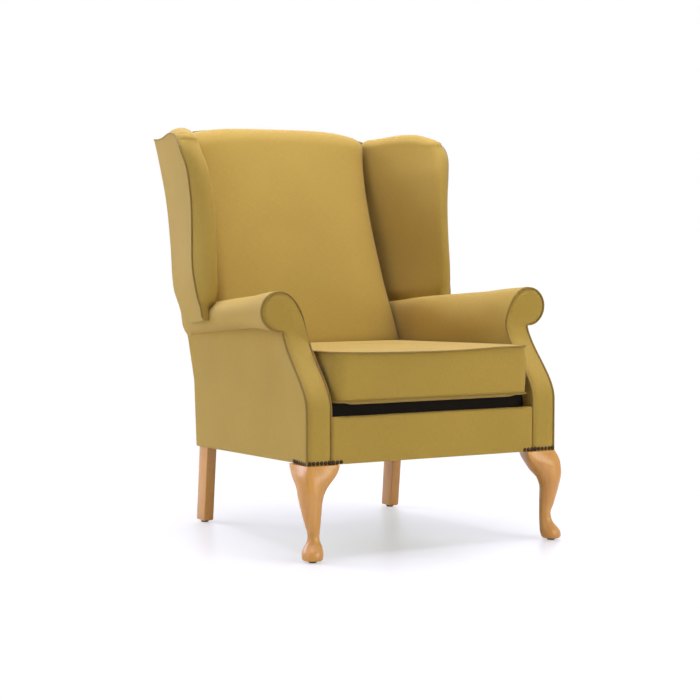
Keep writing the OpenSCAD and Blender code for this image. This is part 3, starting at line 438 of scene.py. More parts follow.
def pair(name, slot, node, rings, **rest):
    """The same piece for the left side and, mirrored, for the right."""
    for side in SIDES:
        loft(f"{name}_{side}", slot, [f"{node}_{side}"], rings, mirrored=side == "right", **rest)


# Materials

class Nodes:
    """Short calls for building the node tree of a named new material, or of a world."""

    def __init__(self, owner):
        if isinstance(owner, str):
            owner = bpy.data.materials.new(owner)
        owner.use_nodes = True
        self.owner, self.tree = owner, owner.node_tree
        self.shader = self.tree.nodes.get("Principled BSDF")

    def give(self, node, **values):
        """Sets inputs, whose spaces are written as underscores, and properties."""
        for key, value in values.items():
            if key.replace("_", " ") in node.inputs:
                node.inputs[key.replace("_", " ")].default_value = value
            else:
                setattr(node, key, value)
        return node

    def add(self, kind, **values):
        return self.give(self.tree.nodes.new(kind), **values)

    def join(self, a, b):
        self.tree.links.new(a, b)

    def where(self):
        return self.add("ShaderNodeTexCoord").outputs["Object"]

    def math(self, operation, a, b):
        node = self.add("ShaderNodeMath", operation=operation)
        for socket, value in zip(node.inputs, (a, b)):
            if isinstance(value, (int, float)):
                socket.default_value = value
            else:
                self.join(value, socket)
        return node.outputs[0]

    def noise(self, vector, scale, detail=3.0, rough=0.5, stretch=None):
        if stretch:
            mapping = self.add("ShaderNodeMapping", Scale=stretch)
            self.join(vector, mapping.inputs["Vector"])
            vector = mapping.outputs[0]
        node = self.add("ShaderNodeTexNoise", Scale=scale, Detail=detail, Roughness=rough)
        self.join(vector, node.inputs["Vector"])
        return node.outputs["Fac"]

    def span(self, value, low, high, to_low, to_high, **values):
        node = self.add("ShaderNodeMapRange", From_Min=low, From_Max=high, To_Min=to_low,
                        To_Max=to_high, **values)
        self.join(value, node.inputs["Value"])
        return node.outputs[0]

    def tint(self, colour, tone):
        """The base colour, made lighter and darker by a tone round 1."""
        node = self.add("ShaderNodeVectorMath", operation='SCALE')
        node.inputs[0].default_value = tuple(colour)
        self.join(tone, node.inputs["Scale"])
        self.join(node.outputs[0], self.shader.inputs["Base Color"])

    def bump(self, height, strength, distance):
        node = self.add("ShaderNodeBump", Strength=strength, Distance=distance)
        self.join(height, node.inputs["Height"])
        self.join(node.outputs[0], self.shader.inputs["Normal"])

    def swap(self, share, a, b):
        """Shows one shader or the other, by a share, at the tree's output."""
        node = self.add("ShaderNodeMixShader")
        for socket, value in zip(node.inputs, (share, a, b)):
            self.join(value, socket)
        output = next(n for n in self.tree.nodes if n.name.endswith("Output"))
        self.join(node.outputs[0], output.inputs[0])


def cloth(name, colour, thread=0.0011, relief=0.35, sheen=0.22, mapped=True):
    """Plain woven cloth: crossing threads with slubs and a little shade from place to place."""
    mottle = 0.07
    n = Nodes(name)
    ordinary = n.where()
    where = n.add("ShaderNodeUVMap", uv_map="cloth").outputs[0] if mapped else ordinary
    axes = n.add("ShaderNodeSeparateXYZ")
    n.join(where, axes.inputs[0])
    warp, weft = (n.math('SINE', n.math('MULTIPLY', axes.outputs[k], pi / thread), 0) for k in (0, 1))
    weave = n.math('MULTIPLY', warp, weft)
    slubs = n.math('ADD', n.noise(where, 1.0, 2, stretch=(60, 900, 1)),
                   n.noise(where, 1.0, 2, stretch=(900, 60, 1)))
    patches = n.noise(ordinary, 5.0, 3)
    tone = n.math('ADD', n.span(slubs, 0.7, 1.3, -mottle, mottle),
                  n.span(patches, 0.3, 0.7, -mottle * 0.6, mottle * 0.6))
    tone = n.math('ADD', tone, n.math('MULTIPLY', weave, 0.05))
    n.tint(colour, n.math('ADD', tone, 1.0))
    n.give(n.shader, Roughness=0.88, Specular_IOR_Level=0.2, Sheen_Weight=sheen, Sheen_Roughness=0.45,
           Sheen_Tint=(*(0.4 + 0.6 * c for c in colour), 1))
    height = n.math('ADD', n.math('MULTIPLY', weave, 0.5), n.math('MULTIPLY', slubs, 0.8))
    n.bump(height, relief, 0.0004)
    return n.owner


def polished_wood(name, colour):
    """Honey-coloured hardwood with fine straight grain under a satin lacquer."""
    n = Nodes(name)
    where = n.where()
    bend = n.add("ShaderNodeVectorMath", operation='MULTIPLY_ADD')
    n.join(where, bend.inputs[0])
    bend.inputs[1].default_value = (14, 14, 1.1)
    n.join(n.noise(where, 3.0, 2), bend.inputs[2])
    rings = n.add("ShaderNodeTexWave", Scale=2.2, Distortion=3.5, Detail=2.0, bands_direction='X')
    n.join(bend.outputs[0], rings.inputs["Vector"])
    fine = n.noise(where, 1.0, 4, 0.6, stretch=(900, 900, 22))
    broad = n.noise(where, 1.0, 3, 0.5, stretch=(30, 30, 5))
    pores = n.noise(where, 1.0, 1, 0.5, stretch=(1600, 1600, 60))
    grain = n.math('ADD', n.span(fine, 0.3, 0.7, -0.06, 0.05), n.span(broad, 0.3, 0.7, -0.10, 0.08))
    tone = n.math('ADD', n.span(rings.outputs["Fac"], 0, 1, -0.025, 0.02), grain)
    dark = n.span(pores, 0.62, 0.74, 0.0, -0.22)
    tone = n.math('ADD', n.math('ADD', tone, dark), 1.0)
    ramp = n.add("ShaderNodeValToRGB")
    low, high = ramp.color_ramp.elements
    low.position, high.position = 0.62, 1.0
    ramp.color_ramp.elements.new(0.82)
    low, middle, high = ramp.color_ramp.elements
    for element, shares in ((low, (0.62, 0.52, 0.42)), (middle, (0.84, 0.78, 0.70)), (high, (1, 1, 1))):
        element.color = (*(c * k for c, k in zip(colour, shares)), 1)
    n.join(n.math('MULTIPLY', tone, 0.92), ramp.inputs[0])
    n.join(ramp.outputs[0], n.shader.inputs["Base Color"])
    n.join(n.span(fine, 0.3, 0.7, 0.34, 0.46), n.shader.inputs["Roughness"])
    n.give(n.shader, Coat_Weight=0.35, Coat_Roughness=0.22)
    n.bump(n.math('ADD', fine, dark), 0.12, 0.0003)
    return n.owner


def raw_wood(name, colour):
    n = Nodes(name)
    where = n.where()
    fine = n.noise(where, 1.0, 4, 0.6, stretch=(40, 500, 500))
    broad = n.noise(where, 6.0, 3)
    n.tint(colour, n.math('ADD', n.span(fine, 0.3, 0.7, 0.84, 1.08),
                          n.span(broad, 0.3, 0.7, -0.08, 0.08)))
    n.give(n.shader, Roughness=0.7)
    n.bump(fine, 0.2, 0.0004)
    return n.owner


def metal(name, colour, rough, wear):
    """Metal with a patchy finish, brighter where it is rubbed."""
    n = Nodes(name)
    patches = n.noise(n.where(), 420.0, 3)
    n.tint(colour, n.span(patches, 0.35, 0.7, 1 - wear, 1 + wear))
    n.give(n.shader, Metallic=1.0)
    n.join(n.span(patches, 0.3, 0.7, rough * 0.8, rough * 1.3), n.shader.inputs["Roughness"])
    n.bump(patches, 0.08, 0.0003)
    return n.owner


def plain(name, colour, rough, grain=900.0, relief=0.15):
    n = Nodes(name)
    fine = n.noise(n.where(), grain, 2)
    n.tint(colour, n.span(fine, 0.3, 0.7, 0.9, 1.1))
    n.give(n.shader, Roughness=rough)
    n.bump(fine, relief, 0.0004)
    return n.owner


def finish(slot):
    """The material for one of the record's slots, made when it is first asked for."""
    name = f"chair_{slot}"
    if name in bpy.data.materials:
        return bpy.data.materials[name]
    c = bpy.context.scene.chair_colours
    maker, *values = {
        "upholstery": (cloth, c.cover),
        # Darker than the cover cloth that it matches: painted shade along the seams
        "piping": (cloth, c.piping, 0.0008, 0.5),
        "show_wood": (polished_wood, c.wood),
        "frame_wood": (raw_wood, (0.60, 0.46, 0.28)),
        "steel": (metal, (0.55, 0.56, 0.58), 0.35, 0.1),
        "glide": (plain, (0.035, 0.028, 0.024), 0.45),
        "wadding": (plain, (0.8, 0.78, 0.72), 0.95, 260.0, 0.5),
        "black_cloth": (cloth, c.lining, 0.0013, 0.5, 0.05, False),
        "webbing": (cloth, (0.36, 0.26, 0.14), 0.0016, 0.8, 0.22, False),
        "nails": (metal, c.nails, 0.42, 0.5),
        "foam": (plain, (0.85, 0.78, 0.55), 0.95, 1500.0, 0.6),
        "zip_tape": (cloth, (0.2, 0.14, 0.05), 0.0014, 0.8, 0.22, False),
        "zip_metal": (metal, (0.55, 0.42, 0.18), 0.3, 0.15),
    }[slot]
    return maker(name, *values)


class Piece(bpy.types.Operator):
    """Common to every piece of the chair"""
    bl_options = {'REGISTER', 'UNDO'}


# Padding and covers

ARM_WALL_LOW, POST_GAP, ROLL_GAP = 0.312, 0.006, 0.0075


def arm_section(y):
    """Across the arm at a depth: inner wall, curl, roll, and the hidden way back."""
    c, z, h, r = roll(y)
    low, cut, q = z - CURL * h, z - h, 2 / squareness(y)
    pts = [("wall", 0.0, level) for level in steps(ARM_WALL_LOW, low, 14)]
    pts += [("curl", 1 - cos(a) ** q, low + (z + h - low) * sin(a) ** q)
            for a in steps(0, pi / 2, 18)[1:-1] + [pi / 2 - 1e-4]]
    pts += [("roll", c + r * sin(a), z + h * cos(a)) for a in steps(0, ROLL_ROUND, 26)[1:]]
    pts += [("in", side_x(y) - PANEL_T - 0.004, cut + 0.002)]
    pts += [("back", 0.020, level) for level in steps(cut, ARM_WALL_LOW, 8)[1:]]
    return pts


def arm_point(t, k, kind, a, z):
    """A point of the arm's section, at the depth where its own height puts it."""
    s = sizes()
    on_roll = kind in ("roll", "in")
    y0 = behind(LEAN_HIGH if on_roll else z, COVER_START)
    y1 = post_y(z) - POST_GAP
    if kind == "roll":
        y1 = mix(y1, rear_y(z) - ROLL_GAP, smooth((a - POST_X) / 0.012))
    y = mix(y0, y1, t)
    kind, a, z = arm_section(y)[k]
    if on_roll:
        return a, y, z
    y = mix(behind(z, COVER_START), post_y(z) - POST_GAP, t)
    kind, a, z = arm_section(y)[k]
    front = behind(z, COVER_START)
    let_out = wrap(s.front_w / 2 - s.facing_w - 0.0004 - inner_x(front), y, front)
    if kind == "curl":
        x = mix(inner_x(y), roll(y)[0], a) + let_out * (1 - a)
    else:
        x = inner_x(y) + a + let_out
    if kind != "back":
        # The wall sinks a little along its middle, and meets the back in a hollow
        x -= 0.0035 * sin(pi * within((z - 0.47) / 0.12)) * smooth(t / 0.2) * sin(pi * min(1, t / 0.86))
        x += 0.012 * smooth((y - back_y(z) + 0.10) / 0.10) * smooth((0.50 - abs(z - 0.45)) / 0.4)
    return x, y, z


def outside_arm_point(t, v, d):
    s = sizes()
    c, z, h, r = roll(mix(0.1, s.body_d, t))
    z = mix(under_z(s.body_d * t) + (0.001 if d else 0), z - h + 0.003, v)
    front = behind(z, COVER_START)
    y = mix(front, rear_y(z), t)
    let_out = wrap(s.front_w / 2 + 0.0006 - side_x(front), y, front)
    edge = 0 if d else max(0, 1 - v / 0.014) * 0.002 + max(0, 1 - (1 - t) / 0.006) * 0.001
    return side_x(min(y, s.body_d)) + let_out - d - edge, y, z


class CHAIR_OT_arms(Piece):
    """Inside arms with their rolls, and the outside arm panels"""
    bl_idname = "chair.arms"
    bl_label = "Arms"

    def execute(self, context):
        s = sizes()
        first, last = s.arm_lean + FACING_T, post_y(s.arm_z - 2 * s.scroll_r) - POST_GAP
        rings = [[arm_point(t, k, *row) for k, row in enumerate(arm_section(mix(first, last, t)))]
                 for t in [0, 0.006, 0.015, 0.03] + steps(0.05, 1, 26)]
        pair("arm_cover", "upholstery", "arm_pad", rings, fill=0.9)
        rings = panel_rings([0, 0.004] + steps(0.012, 0.988, 22) + [0.996, 1],
                            [0, 0.004, 0.014] + steps(0.03, 1, 20), PANEL_T, outside_arm_point)
        pair("outside_arm_cover", "upholstery", "outside_arm", rings, panel=True, fill=1.0)
        return {'FINISHED'}


def facing_inner(z, i):
    """The facing's inner edge at a height, drawn in by i."""
    s = sizes()
    low = s.arm_z - s.scroll_r * (1 + CURL)
    start = s.front_w / 2 - s.facing_w + i
    if z < low:
        return start
    return s.scroll_x - (s.scroll_x - start) * sqrt(max(0, 1 - ((z - low) / (s.arm_z - i - low)) ** 2))


def facing_outer(z, i):
    s = sizes()
    if z < s.arm_z - 2 * s.scroll_r + i:
        return s.front_w / 2 - 0.0003 - i
    return s.scroll_x + sqrt(max(0, (s.scroll_r - i) ** 2 - (z - s.arm_z + s.scroll_r) ** 2))


def facing_outline(i):
    """The facing's edge, up its outer side, round the scroll and down the inner side."""
    s = sizes()
    low, middle, r = s.arm_z - s.scroll_r * (1 + CURL), s.arm_z - s.scroll_r, s.scroll_r - i
    out = [(facing_outer(z, i), z) for z in steps(s.under, middle - s.scroll_r - 0.004, 40)]
    out += [(s.scroll_x + r * cos(a), middle + r * sin(a)) for a in steps(radians(-97), pi / 2, 40)]
    down = [low + (s.arm_z - i - low) * cos(a) for a in steps(0, pi / 2, 24)[1:]]
    return out + [(facing_inner(z, i), z) for z in down + steps(low, s.under, 24)[1:]]


class CHAIR_OT_facings(Piece):
    """Padded arm facings with the piping round them"""
    bl_idname = "chair.facings"
    bl_label = "Arm facings"

    def execute(self, context):
        s = sizes()
        inset = s.piping_d * 0.55
        middle = s.arm_z - s.scroll_r
        across = [0, 0.012, 0.035, 0.07, 0.12, 0.2, 0.35, 0.5, 0.65, 0.8, 0.88, 0.93, 0.965, 0.988, 1]
        levels = steps(s.under, middle - s.scroll_r, 60)[:-1]
        levels += [middle - (s.scroll_r - inset) * cos(radians(a))
                   for a in [1, 3, 6, 10, 15, *range(21, 175, 6), 176, 178, 179.4]]
        rings = []
        for z in levels:
            a, b = facing_inner(z, inset), facing_outer(z, inset)
            up = max(0, min(z - s.under + 0.02, s.arm_z - inset - z))
            ring = []
            for t in across:
                fall = 0.0036 * (1 - smooth(min(min(t, 1 - t) * (b - a), up) / 0.012))
                ring.append((mix(a, b, t), behind(z, fall), z))
            rings.append(ring + [(b, behind(z, FACING_T), z), (a, behind(z, FACING_T), z)])
        pair("facing_cover", "upholstery", "arm_facing", rings, fill=0.9)
        path = [(x, behind(z, s.piping_d * 0.62), z) for x, z in facing_outline(s.piping_d * 0.22)]
        pair("facing_cord", "piping", "facing_piping", cord_rings(path))
        return {'FINISHED'}


# The wing's plan: points of its roll and inner face, and the hidden one that its foot is drawn to
NOSE_POINTS, FACE_POINTS, FOOT_AIM = 12, 16, 32
GROOVE, WING_ROLL, WING_ROUND, WING_TURNED = 0.005, 0.046, 0.030, radians(150)
FOOT_TUCK, FOOT_UNDER, TOP_GAP = 0.010, 0.02, 0.0015
CORD_SINK, ARM_COVER_GAP = 0.0012, 0.0008


def wing_plan(z):
    """The wing's padding seen from above at a height: roll, inner face and hidden sides."""
    edge = wing_at(z, 0, GROOVE * 0.5)
    turn = Vector((-WING_ROLL, -WING_ROLL * wing_share(ROLL_FORWARD, z)))
    nose = wing_edge(z) + turn
    half, gap = through(SEAM_HALF, z), through(VALLEY, z)
    seam = Vector((half + 0.001 + gap * 0.75, min(back_y(z) + 0.100, post_y(z) - 0.012)))
    knee = Vector((half + 0.004 + gap * 1.05, back_y(z) - 0.004))
    rear = post_y(z) - 0.003
    pts = [bezier(edge, edge + Vector((turn.x * 0.1, turn.y * 0.6)),
                  nose + Vector((-turn.x * 0.4, turn.y * 0.35)), nose, k / NOSE_POINTS)
           for k in range(NOSE_POINTS)]
    pts += [bezier(nose, nose.lerp(knee, 0.45) + Vector((-0.005, -0.002)), knee, seam, k / FACE_POINTS)
            for k in range(FACE_POINTS)]
    pts += [seam, Vector((BACK_HALF + 0.003, rear))]
    return pts + [wing_at(z, t, PANEL_T + 0.002) for t in steps(wing_t(z, rear), 0.02, 8)]


def wing_point(z, k, share):
    """A point of the wing's plan, its foot drawn in by a share of the tuck."""
    plan = wing_plan(max(z, WING_LOW - FOOT_UNDER))
    draw = FOOT_TUCK * share * smooth((k - 4) / 8) * smooth((30 - k) / 4)
    return plan[k] + draw * (plan[FOOT_AIM] - plan[k]).normalized()


def wing_ends(k):
    """Where a line of the wing's plan leaves the arm and starts to turn over, and its t."""
    top_z = sizes().wing_z - WING_FALL
    t = within(wing_t(top_z, wing_plan(top_z)[k].y))
    p, sink = wing_plan(WING_LOW)[k], 0.006
    for _ in range(4):
        foot = arm_top(p.x, min(p.y, post_y(WING_LOW))) - sink
        p, sink = wing_point(foot, k, 1), FOOT_TUCK
    return foot, wing_top(t) - TOP_GAP - WING_ROUND, t


def wing_over(k, low, high, t, a):
    """A point of the wing's rounded top, turned over by an angle onto the outer edge."""
    edge_top = wing_edge_top(t) - TOP_GAP
    crown = high + WING_ROUND - 0.014 * (1 - smooth((k - 9) / 9))
    crown = mix(edge_top, crown, smooth(k / 9) if k < NOSE_POINTS + FACE_POINTS else 0)
    if a < pi / 2:
        z = mix(high, crown, sin(a))
    else:
        z = mix(crown, edge_top, (1 - sin(a)) / (1 - sin(WING_TURNED)))
    q = Vector(low[:2]).lerp(wing_at(edge_top, t, GROOVE * 0.5), (1 - cos(a)) / (1 - cos(WING_TURNED)))
    if k < 8:
        straight = mix(high, edge_top, a / WING_TURNED)
        q = wing_at(straight, t, GROOVE * 0.5).lerp(q, smooth(k / 8))
        z = mix(straight, z, smooth(k / 8))
    return (*q, z)


def join_line(t):
    """Height of the line where the outside wing meets the arm."""
    c, z, h, r = roll(wing_at(WING_LOW, t, 0).y)
    low = mix(z - 0.012 * smooth(t * 2), z - 0.6 * h, smooth((t - 0.1) / 0.4))
    return mix(low, z - h + 0.0025, smooth((t - 0.7) / 0.25))


def outside_wing_point(t, v, d):
    """The outside wing: its foot lies round the roll, and flush with the arm at the rear."""
    z = mix(join_line(t), wing_edge_top(t) - 0.0035, v)
    p = wing_at(z, t, d)
    c, roll_z, h, r = roll(p.y)
    near = smooth((roll_z + 0.085 - z) / 0.085)
    round_x = c + r * sqrt(max(0, 1 - min(0, (z - roll_z) / h) ** 2)) + ARM_COVER_GAP - d
    round_x -= 0.0045 * (1 - smooth(v / 0.09)) * (1 - smooth((t - 0.55) / 0.25))
    flush = max(round_x, side_x(min(p.y, sizes().body_d)) + ARM_COVER_GAP - d)
    round_x = mix(round_x, flush, smooth((t - 0.6) / 0.3))
    edge = 0 if d else 0.0012 * (1 - smooth(min(t, 1 - t) / 0.012))
    return mix(p.x, round_x, near) - edge, p.y, z


class CHAIR_OT_wings(Piece):
    """Wings: rolled front and inner face, outside panel, and the piping between them"""
    bl_idname = "chair.wings"
    bl_label = "Wings"

    def execute(self, context):
        spots = [wing_ends(k) for k in range(len(wing_plan(WING_LOW)))]
        rings = []
        for v in [0, 0.015, 0.035] + steps(0.06, 1, 30):
            ring = []
            for k, (foot, high, t) in enumerate(spots):
                z = mix(foot, high, v)
                ring.append((*wing_point(z, k, 1 - smooth((z - foot - 0.008) / 0.022)), z))
            rings.append(ring)
        last = rings[-1]
        rings += [[wing_over(k, last[k], high, t, a) for k, (foot, high, t) in enumerate(spots)]
                  for a in steps(0, WING_TURNED, 18)[1:]]
        pair("wing_cover", "upholstery", "wing_pad", rings, fill=0.9, sharp=60)
        rings = panel_rings([0.004, 0.008] + steps(0.02, 0.99, 26) + [0.996, 1],
                            [0, 0.01] + steps(0.03, 0.99, 34) + [1], PANEL_T * 0.8, outside_wing_point)
        pair("outside_wing_cover", "upholstery", "outside_wing", rings, panel=True, fill=1.0)
        path = [(*wing_at(z, 0.002, CORD_SINK), z)
                for z in steps(arm_top(*wing_edge(WING_LOW)) - 0.003, wing_edge_top(0) - 0.004, 50)]
        path += [(*wing_at(wing_edge_top(t) - 0.002, t, CORD_SINK), wing_edge_top(t) - 0.0022)
                 for t in [0.004, 0.012, 0.03] + steps(0.05, 0.99, 30)]
        pair("wing_cord", "piping", "wing_piping", cord_rings(path))
        return {'FINISHED'}


BACK_LOW, CREST_LOW, SHELF_D = 0.3525, 0.966, 0.016
OVER_R, EDGE_R, CROWN_W = 0.062, 0.024, 0.135


def back_fall(t, z):
    """How far the inside back falls away towards its side seams."""
    half = through(SEAM_HALF, z)
    q = (abs(t) * half - (half - EDGE_R)) / EDGE_R
    broad = max(0, (abs(t) * half - (half - CROWN_W)) / CROWN_W)
    return EDGE_R * (1 - sqrt(max(0, 1 - max(0, q) ** 2))) + 0.026 * through(BROAD, z) * broad ** 2


def back_section(t):
    """Up the inside back, over its rolled top and down its hidden rear."""
    rake = sizes().rake
    top = crest(t * BACK_HALF)
    centre = top - OVER_R
    start = centre + OVER_R * sin(rake)
    ring = []
    for z in [BACK_LOW, 0.38, 0.41, 0.44] + steps(SEAT_Z, start, 26):
        swell = 0.010 * sin(pi * within((z - SEAT_Z) / (start - SEAT_Z)) ** 0.8) * (1 - t * t)
        ring.append((t * through(SEAM_HALF, z), back_y(z) + back_fall(t, z) - swell, z))
    middle = ring[-1][1] + OVER_R * cos(rake)
    for k in range(1, 15):
        a = mix(rake, pi / 2, k / 14)
        z = centre + OVER_R * sin(a) - back_fall(t, centre) * 0.35 * smooth(k / 14)
        ring.append((t * through(SEAM_HALF, z), middle - OVER_R * cos(a), z))
    x, y, z = ring[-1]
    rear = post_y(top) + 0.004
    ring += [(t * through(SEAM_HALF, z), mix(middle, rear, k), z - 0.001 * k) for k in (0.3, 0.7, 1)]
    x = t * BACK_HALF * 0.99
    return ring + [(x, rear, CREST_LOW + 0.002)] + [
        (x, post_y(z) - 0.004, z) for z in (CREST_LOW, 0.6, 0.37, BACK_LOW)]


def crest_section(t):
    """Over the top of the back, from a shelf under the inside back's roll to the rear."""
    low = CREST_LOW + 0.0005
    def at(y, z):
        return t * wing_at(low, wing_t(low, y), PANEL_T * 0.8 + 0.0005).x, y, z
    y1 = rear_y(low)
    top = crest(at(y1, low)[0])
    drop = 0.003 * (1 - smooth((1 - abs(t)) / 0.06))
    y0 = post_y(top) + 0.003
    ring = [at(y0 - SHELF_D, low), at(y0 - SHELF_D, low + 0.005)]
    ring.append((at(y0, low)[0], y0 - 0.0005, low + 0.006))
    for a in steps(0, pi / 2, 12):
        ring.append(at(mix(y0, y1, sin(a)), max(low + 0.002, top - drop - 0.026 * (1 - cos(a)) ** 1.2)))
    return ring + [at(y1, low)]


def outside_back_point(t, v, d):
    s = sizes()
    z = mix(under_z(s.body_d), CREST_LOW, v)
    if z <= s.cushion_z + s.cushion_t:
        half = s.rear_w / 2 - PANEL_T - 0.0005
    else:
        half = wing_at(z, wing_t(z, rear_y(z)), PANEL_T * 0.8 + 0.0005).x
    edge = 0.002 * (1 - smooth(min(v, 1 - v) / 0.012)) + 0.0018 * (1 - smooth((1 - abs(t)) / 0.02))
    return t * half, rear_y(z) - d - (0 if d else edge), z


class CHAIR_OT_back(Piece):
    """Inside back, crest and outside back"""
    bl_idname = "chair.back"
    bl_label = "Back"

    def execute(self, context):
        half = [0, 0.15, 0.3, 0.45, 0.58, 0.69, 0.78, 0.85, 0.9, 0.935, 0.96, 0.978, 0.99, 0.997, 1]
        rings = [back_section(t) for t in [-t for t in half[:0:-1]] + half]
        loft("inside_back_cover", "upholstery", ["back_pad"], rings, lengthwise=20, fill=0.9, sharp=60)
        rings = [crest_section(t) for t in both_ends(0.9, 24, 0.93, 0.97, 0.99, 1)]
        loft("crest_cover", "upholstery", ["crest_pad"], rings, fill=0.9, sharp=60)
        rows = [0, 0.004] + steps(0.014, 0.984, 30) + [0.994, 1]
        rings = panel_rings(both_ends(0.93, 20, 0.96, 0.985, 0.994, 1), rows, PANEL_T, outside_back_point)
        loft("outside_back_cover", "upholstery", ["outside_back"], rings, panel=True, fill=1.0)
        return {'FINISHED'}


class CHAIR_OT_border(Piece):
    """Front border under the cushion"""
    bl_idname = "chair.border"
    bl_label = "Front border"

    def execute(self, context):
        s = sizes()
        half = s.front_w / 2 - s.facing_w - 0.0005
        low, top, r, deep, bare = s.under, s.under + s.border_h, 0.007, 0.0268, 0.0135
        section = [(bare, low), (0.003, low), (0.0006, low + 0.0016)]
        section += [(0, z) for z in steps(low + 0.005, top - r, 12)]
        section += [(r - r * cos(a), top - r + r * sin(a)) for a in steps(0, pi / 2, 7)[1:]]
        section += [(mix(r, deep, k / 4), top - 0.0004 * k) for k in range(1, 5)]
        section += [(deep, top - 0.012), (bare, top - 0.016)]
        rings = []
        for t in both_ends(0.95, 20, 0.97, 0.988, 0.996, 1):
            tuck = 0.003 * (1 - smooth((1 - abs(t)) / 0.014))
            rings.append([(t * half, y + (tuck if y < 0.01 else 0), z) for y, z in section])
        loft("border_cover", "upholstery", ["front_border"], rings, fill=0.9)
        return {'FINISHED'}


# The seat cushion

CUSHION_Y = (-0.003, 0.559)
CORNER_R = 0.030
FRONT_WAVE = [(-0.27, 0), (-0.13, -0.004), (0.06, -0.005), (0.17, -0.001), (0.27, 0)]


def cushion_v(y):
    return (y - CUSHION_Y[0]) / (CUSHION_Y[1] - CUSHION_Y[0])


def cushion_outline(grow):
    """The cushion's plan, its sides drawn in between rounded corners."""
    n, r = 30, CORNER_R
    y0, y1 = CUSHION_Y[0] - grow, CUSHION_Y[1] + grow
    def half(y):
        v = within(cushion_v(y))
        drawn = 0.005 + 0.005 * sin(pi * v) + 0.006 * (1 - smooth(v / 0.3))
        return mix(inner_x(0), inner_x(CUSHION_Y[1]), v) - drawn + grow
    def corner(x, y, first):
        return [(x + r * cos(a), y + r * sin(a)) for a in steps(first, first + pi / 2, 8)[:-1]]
    x0, x1 = half(y0) - r, half(y1) - r
    pts = [(x, y0 + 0.0015 * sin(pi * k / n)) for k, x in enumerate(steps(-x0, x0, n)[:-1])]
    pts += corner(x0, y0 + r, -pi / 2)
    pts += [(half(y), y) for y in steps(y0 + r, y1 - r, n)[:-1]]
    pts += corner(x1, y1 - r, 0)
    pts += [(x, y1) for x in steps(x1, -x1, n)[:-1]]
    pts += corner(-x1, y1 - r, pi / 2)
    pts += [(-half(y), y) for y in steps(y1 - r, y0 + r, n)[:-1]]
    return pts + corner(-x0, y0 + r, pi)


def cushion_top_z(x, y):
    """The cushion's top edge: it falls to the rear, and sits uneven along the front."""
    s = sizes()
    v = cushion_v(y)
    return s.cushion_z + s.cushion_t - 0.014 * v + through(FRONT_WAVE, x) * (1 - smooth(v / 0.5))


class CHAIR_OT_cushion(Piece):
    """Loose seat cushion with piped edges"""
    bl_idname = "chair.cushion"
    bl_label = "Seat cushion"

    def execute(self, context):
        s = sizes()
        outline = [Vector(p) for p in cushion_outline(-0.0012)]
        middle = Vector((0, mix(*CUSHION_Y, 0.5)))
        inwards = [0.02, 0.12, 0.25, 0.38, 0.5, 0.6, 0.7, 0.78, 0.85, 0.9, 0.94, 0.965, 0.98, 0.99,
                   0.996]

        def under(p, q):
            belly = 0.0065 * sin(pi * within(p.y / 0.040)) ** 0.8 * smooth((0.250 - abs(p.x)) / 0.04)
            return (*p, s.cushion_z - 0.0027 * (1 - q ** 4) + 0.0016 * q ** 30 - belly)

        def border(p, v):
            away = p - middle
            if abs(away.x) / 0.26 > abs(away.y) / 0.28:
                out = Vector((copysign(1, away.x), 0))
            else:
                out = Vector((0, copysign(1, away.y)))
            bulge = 0 if p.y > CUSHION_Y[1] - 0.02 else 0.004 * sin(pi * v)
            q = p + out * bulge * min(1, abs(abs(away.x) - 0.3) + 0.7)
            return (*q, mix(s.cushion_z + 0.0022, cushion_top_z(*p) - 0.0022, v))

        def over(p, q, rim):
            uneven = 0.85 + 0.3 * noise.noise(Vector((rim.x * 3, rim.y * 3, 1.7)))
            return (*p, cushion_top_z(*p) + s.crown * (1 - q ** 4) * uneven - 0.0016 * q ** 30)

        rings = [[under(middle.lerp(p, q), q) for p in outline] for q in inwards]
        rings += [[border(p, v) for p in outline] for v in steps(0, 1, 14)]
        rings += [[over(middle.lerp(p, q), q, p) for p in outline] for q in inwards[::-1]]
        bm = bmesh.new()
        skin(bm, rings, lengthwise=15)
        uv = bm.loops.layers.uv["cloth"]
        for f in bm.faces:
            if abs(f.normal.z) > 0.7 or len(f.verts) > 4:
                for loop in f.loops:
                    loop[uv].uv = loop.vert.co.xy
        place(bm, "cushion_case", "upholstery", ["cushion_cover", "cushion_core", "cushion_zip_panel"],
              body="seat_cushion", sharp=50, fill=0.95)
        bm = bmesh.new()
        for top in (False, True):
            path = [(x, y, cushion_top_z(x, y) - CORD_SINK if top else s.cushion_z + CORD_SINK)
                    for x, y in cushion_outline(0.0003)]
            skin(bm, cord_rings(path, closed=True), caps=False)
        place(bm, "cushion_cord", "piping", ["cushion_piping"], body="seat_cushion")
        return {'FINISHED'}


# Legs

# Height, then in leg blocks the outer, inner and sideways reach and the middle's shift, squareness
LEG_ROWS = [(1, 0, -1, 0.68, -0.62, 1.15), (0.94, 0.09, -0.96, 0.65, -0.58, 1.25),
            (0.88, 0.15, -0.875, 0.59, -0.5, 1.4), (0.78, 0.185, -0.705, 0.43, -0.34, 1.7),
            (0.727, 0.19, -0.58, 0.37, -0.25, 1.9), (0.685, 0.176, -0.49, 0.34, -0.18, 2),
            (0.588, 0.126, -0.41, 0.29, -0.14, 2), (0.486, 0.0625, -0.407, 0.252, -0.17, 2),
            (0.38, -0.011, -0.407, 0.208, -0.21, 2), (0.29, -0.084, -0.405, 0.165, -0.245, 2),
            (0.222, -0.0625, -0.4, 0.157, -0.23, 2), (0.178, -0.017, -0.395, 0.188, -0.205, 2),
            (0.13, 0.08, -0.386, 0.244, -0.155, 2), (0.079, 0.18, -0.375, 0.276, -0.1, 2),
            (0.018, 0.2, -0.33, 0.27, -0.065, 2), (0, 0.165, -0.295, 0.24, -0.065, 2)]
LEG_SIDES = 40
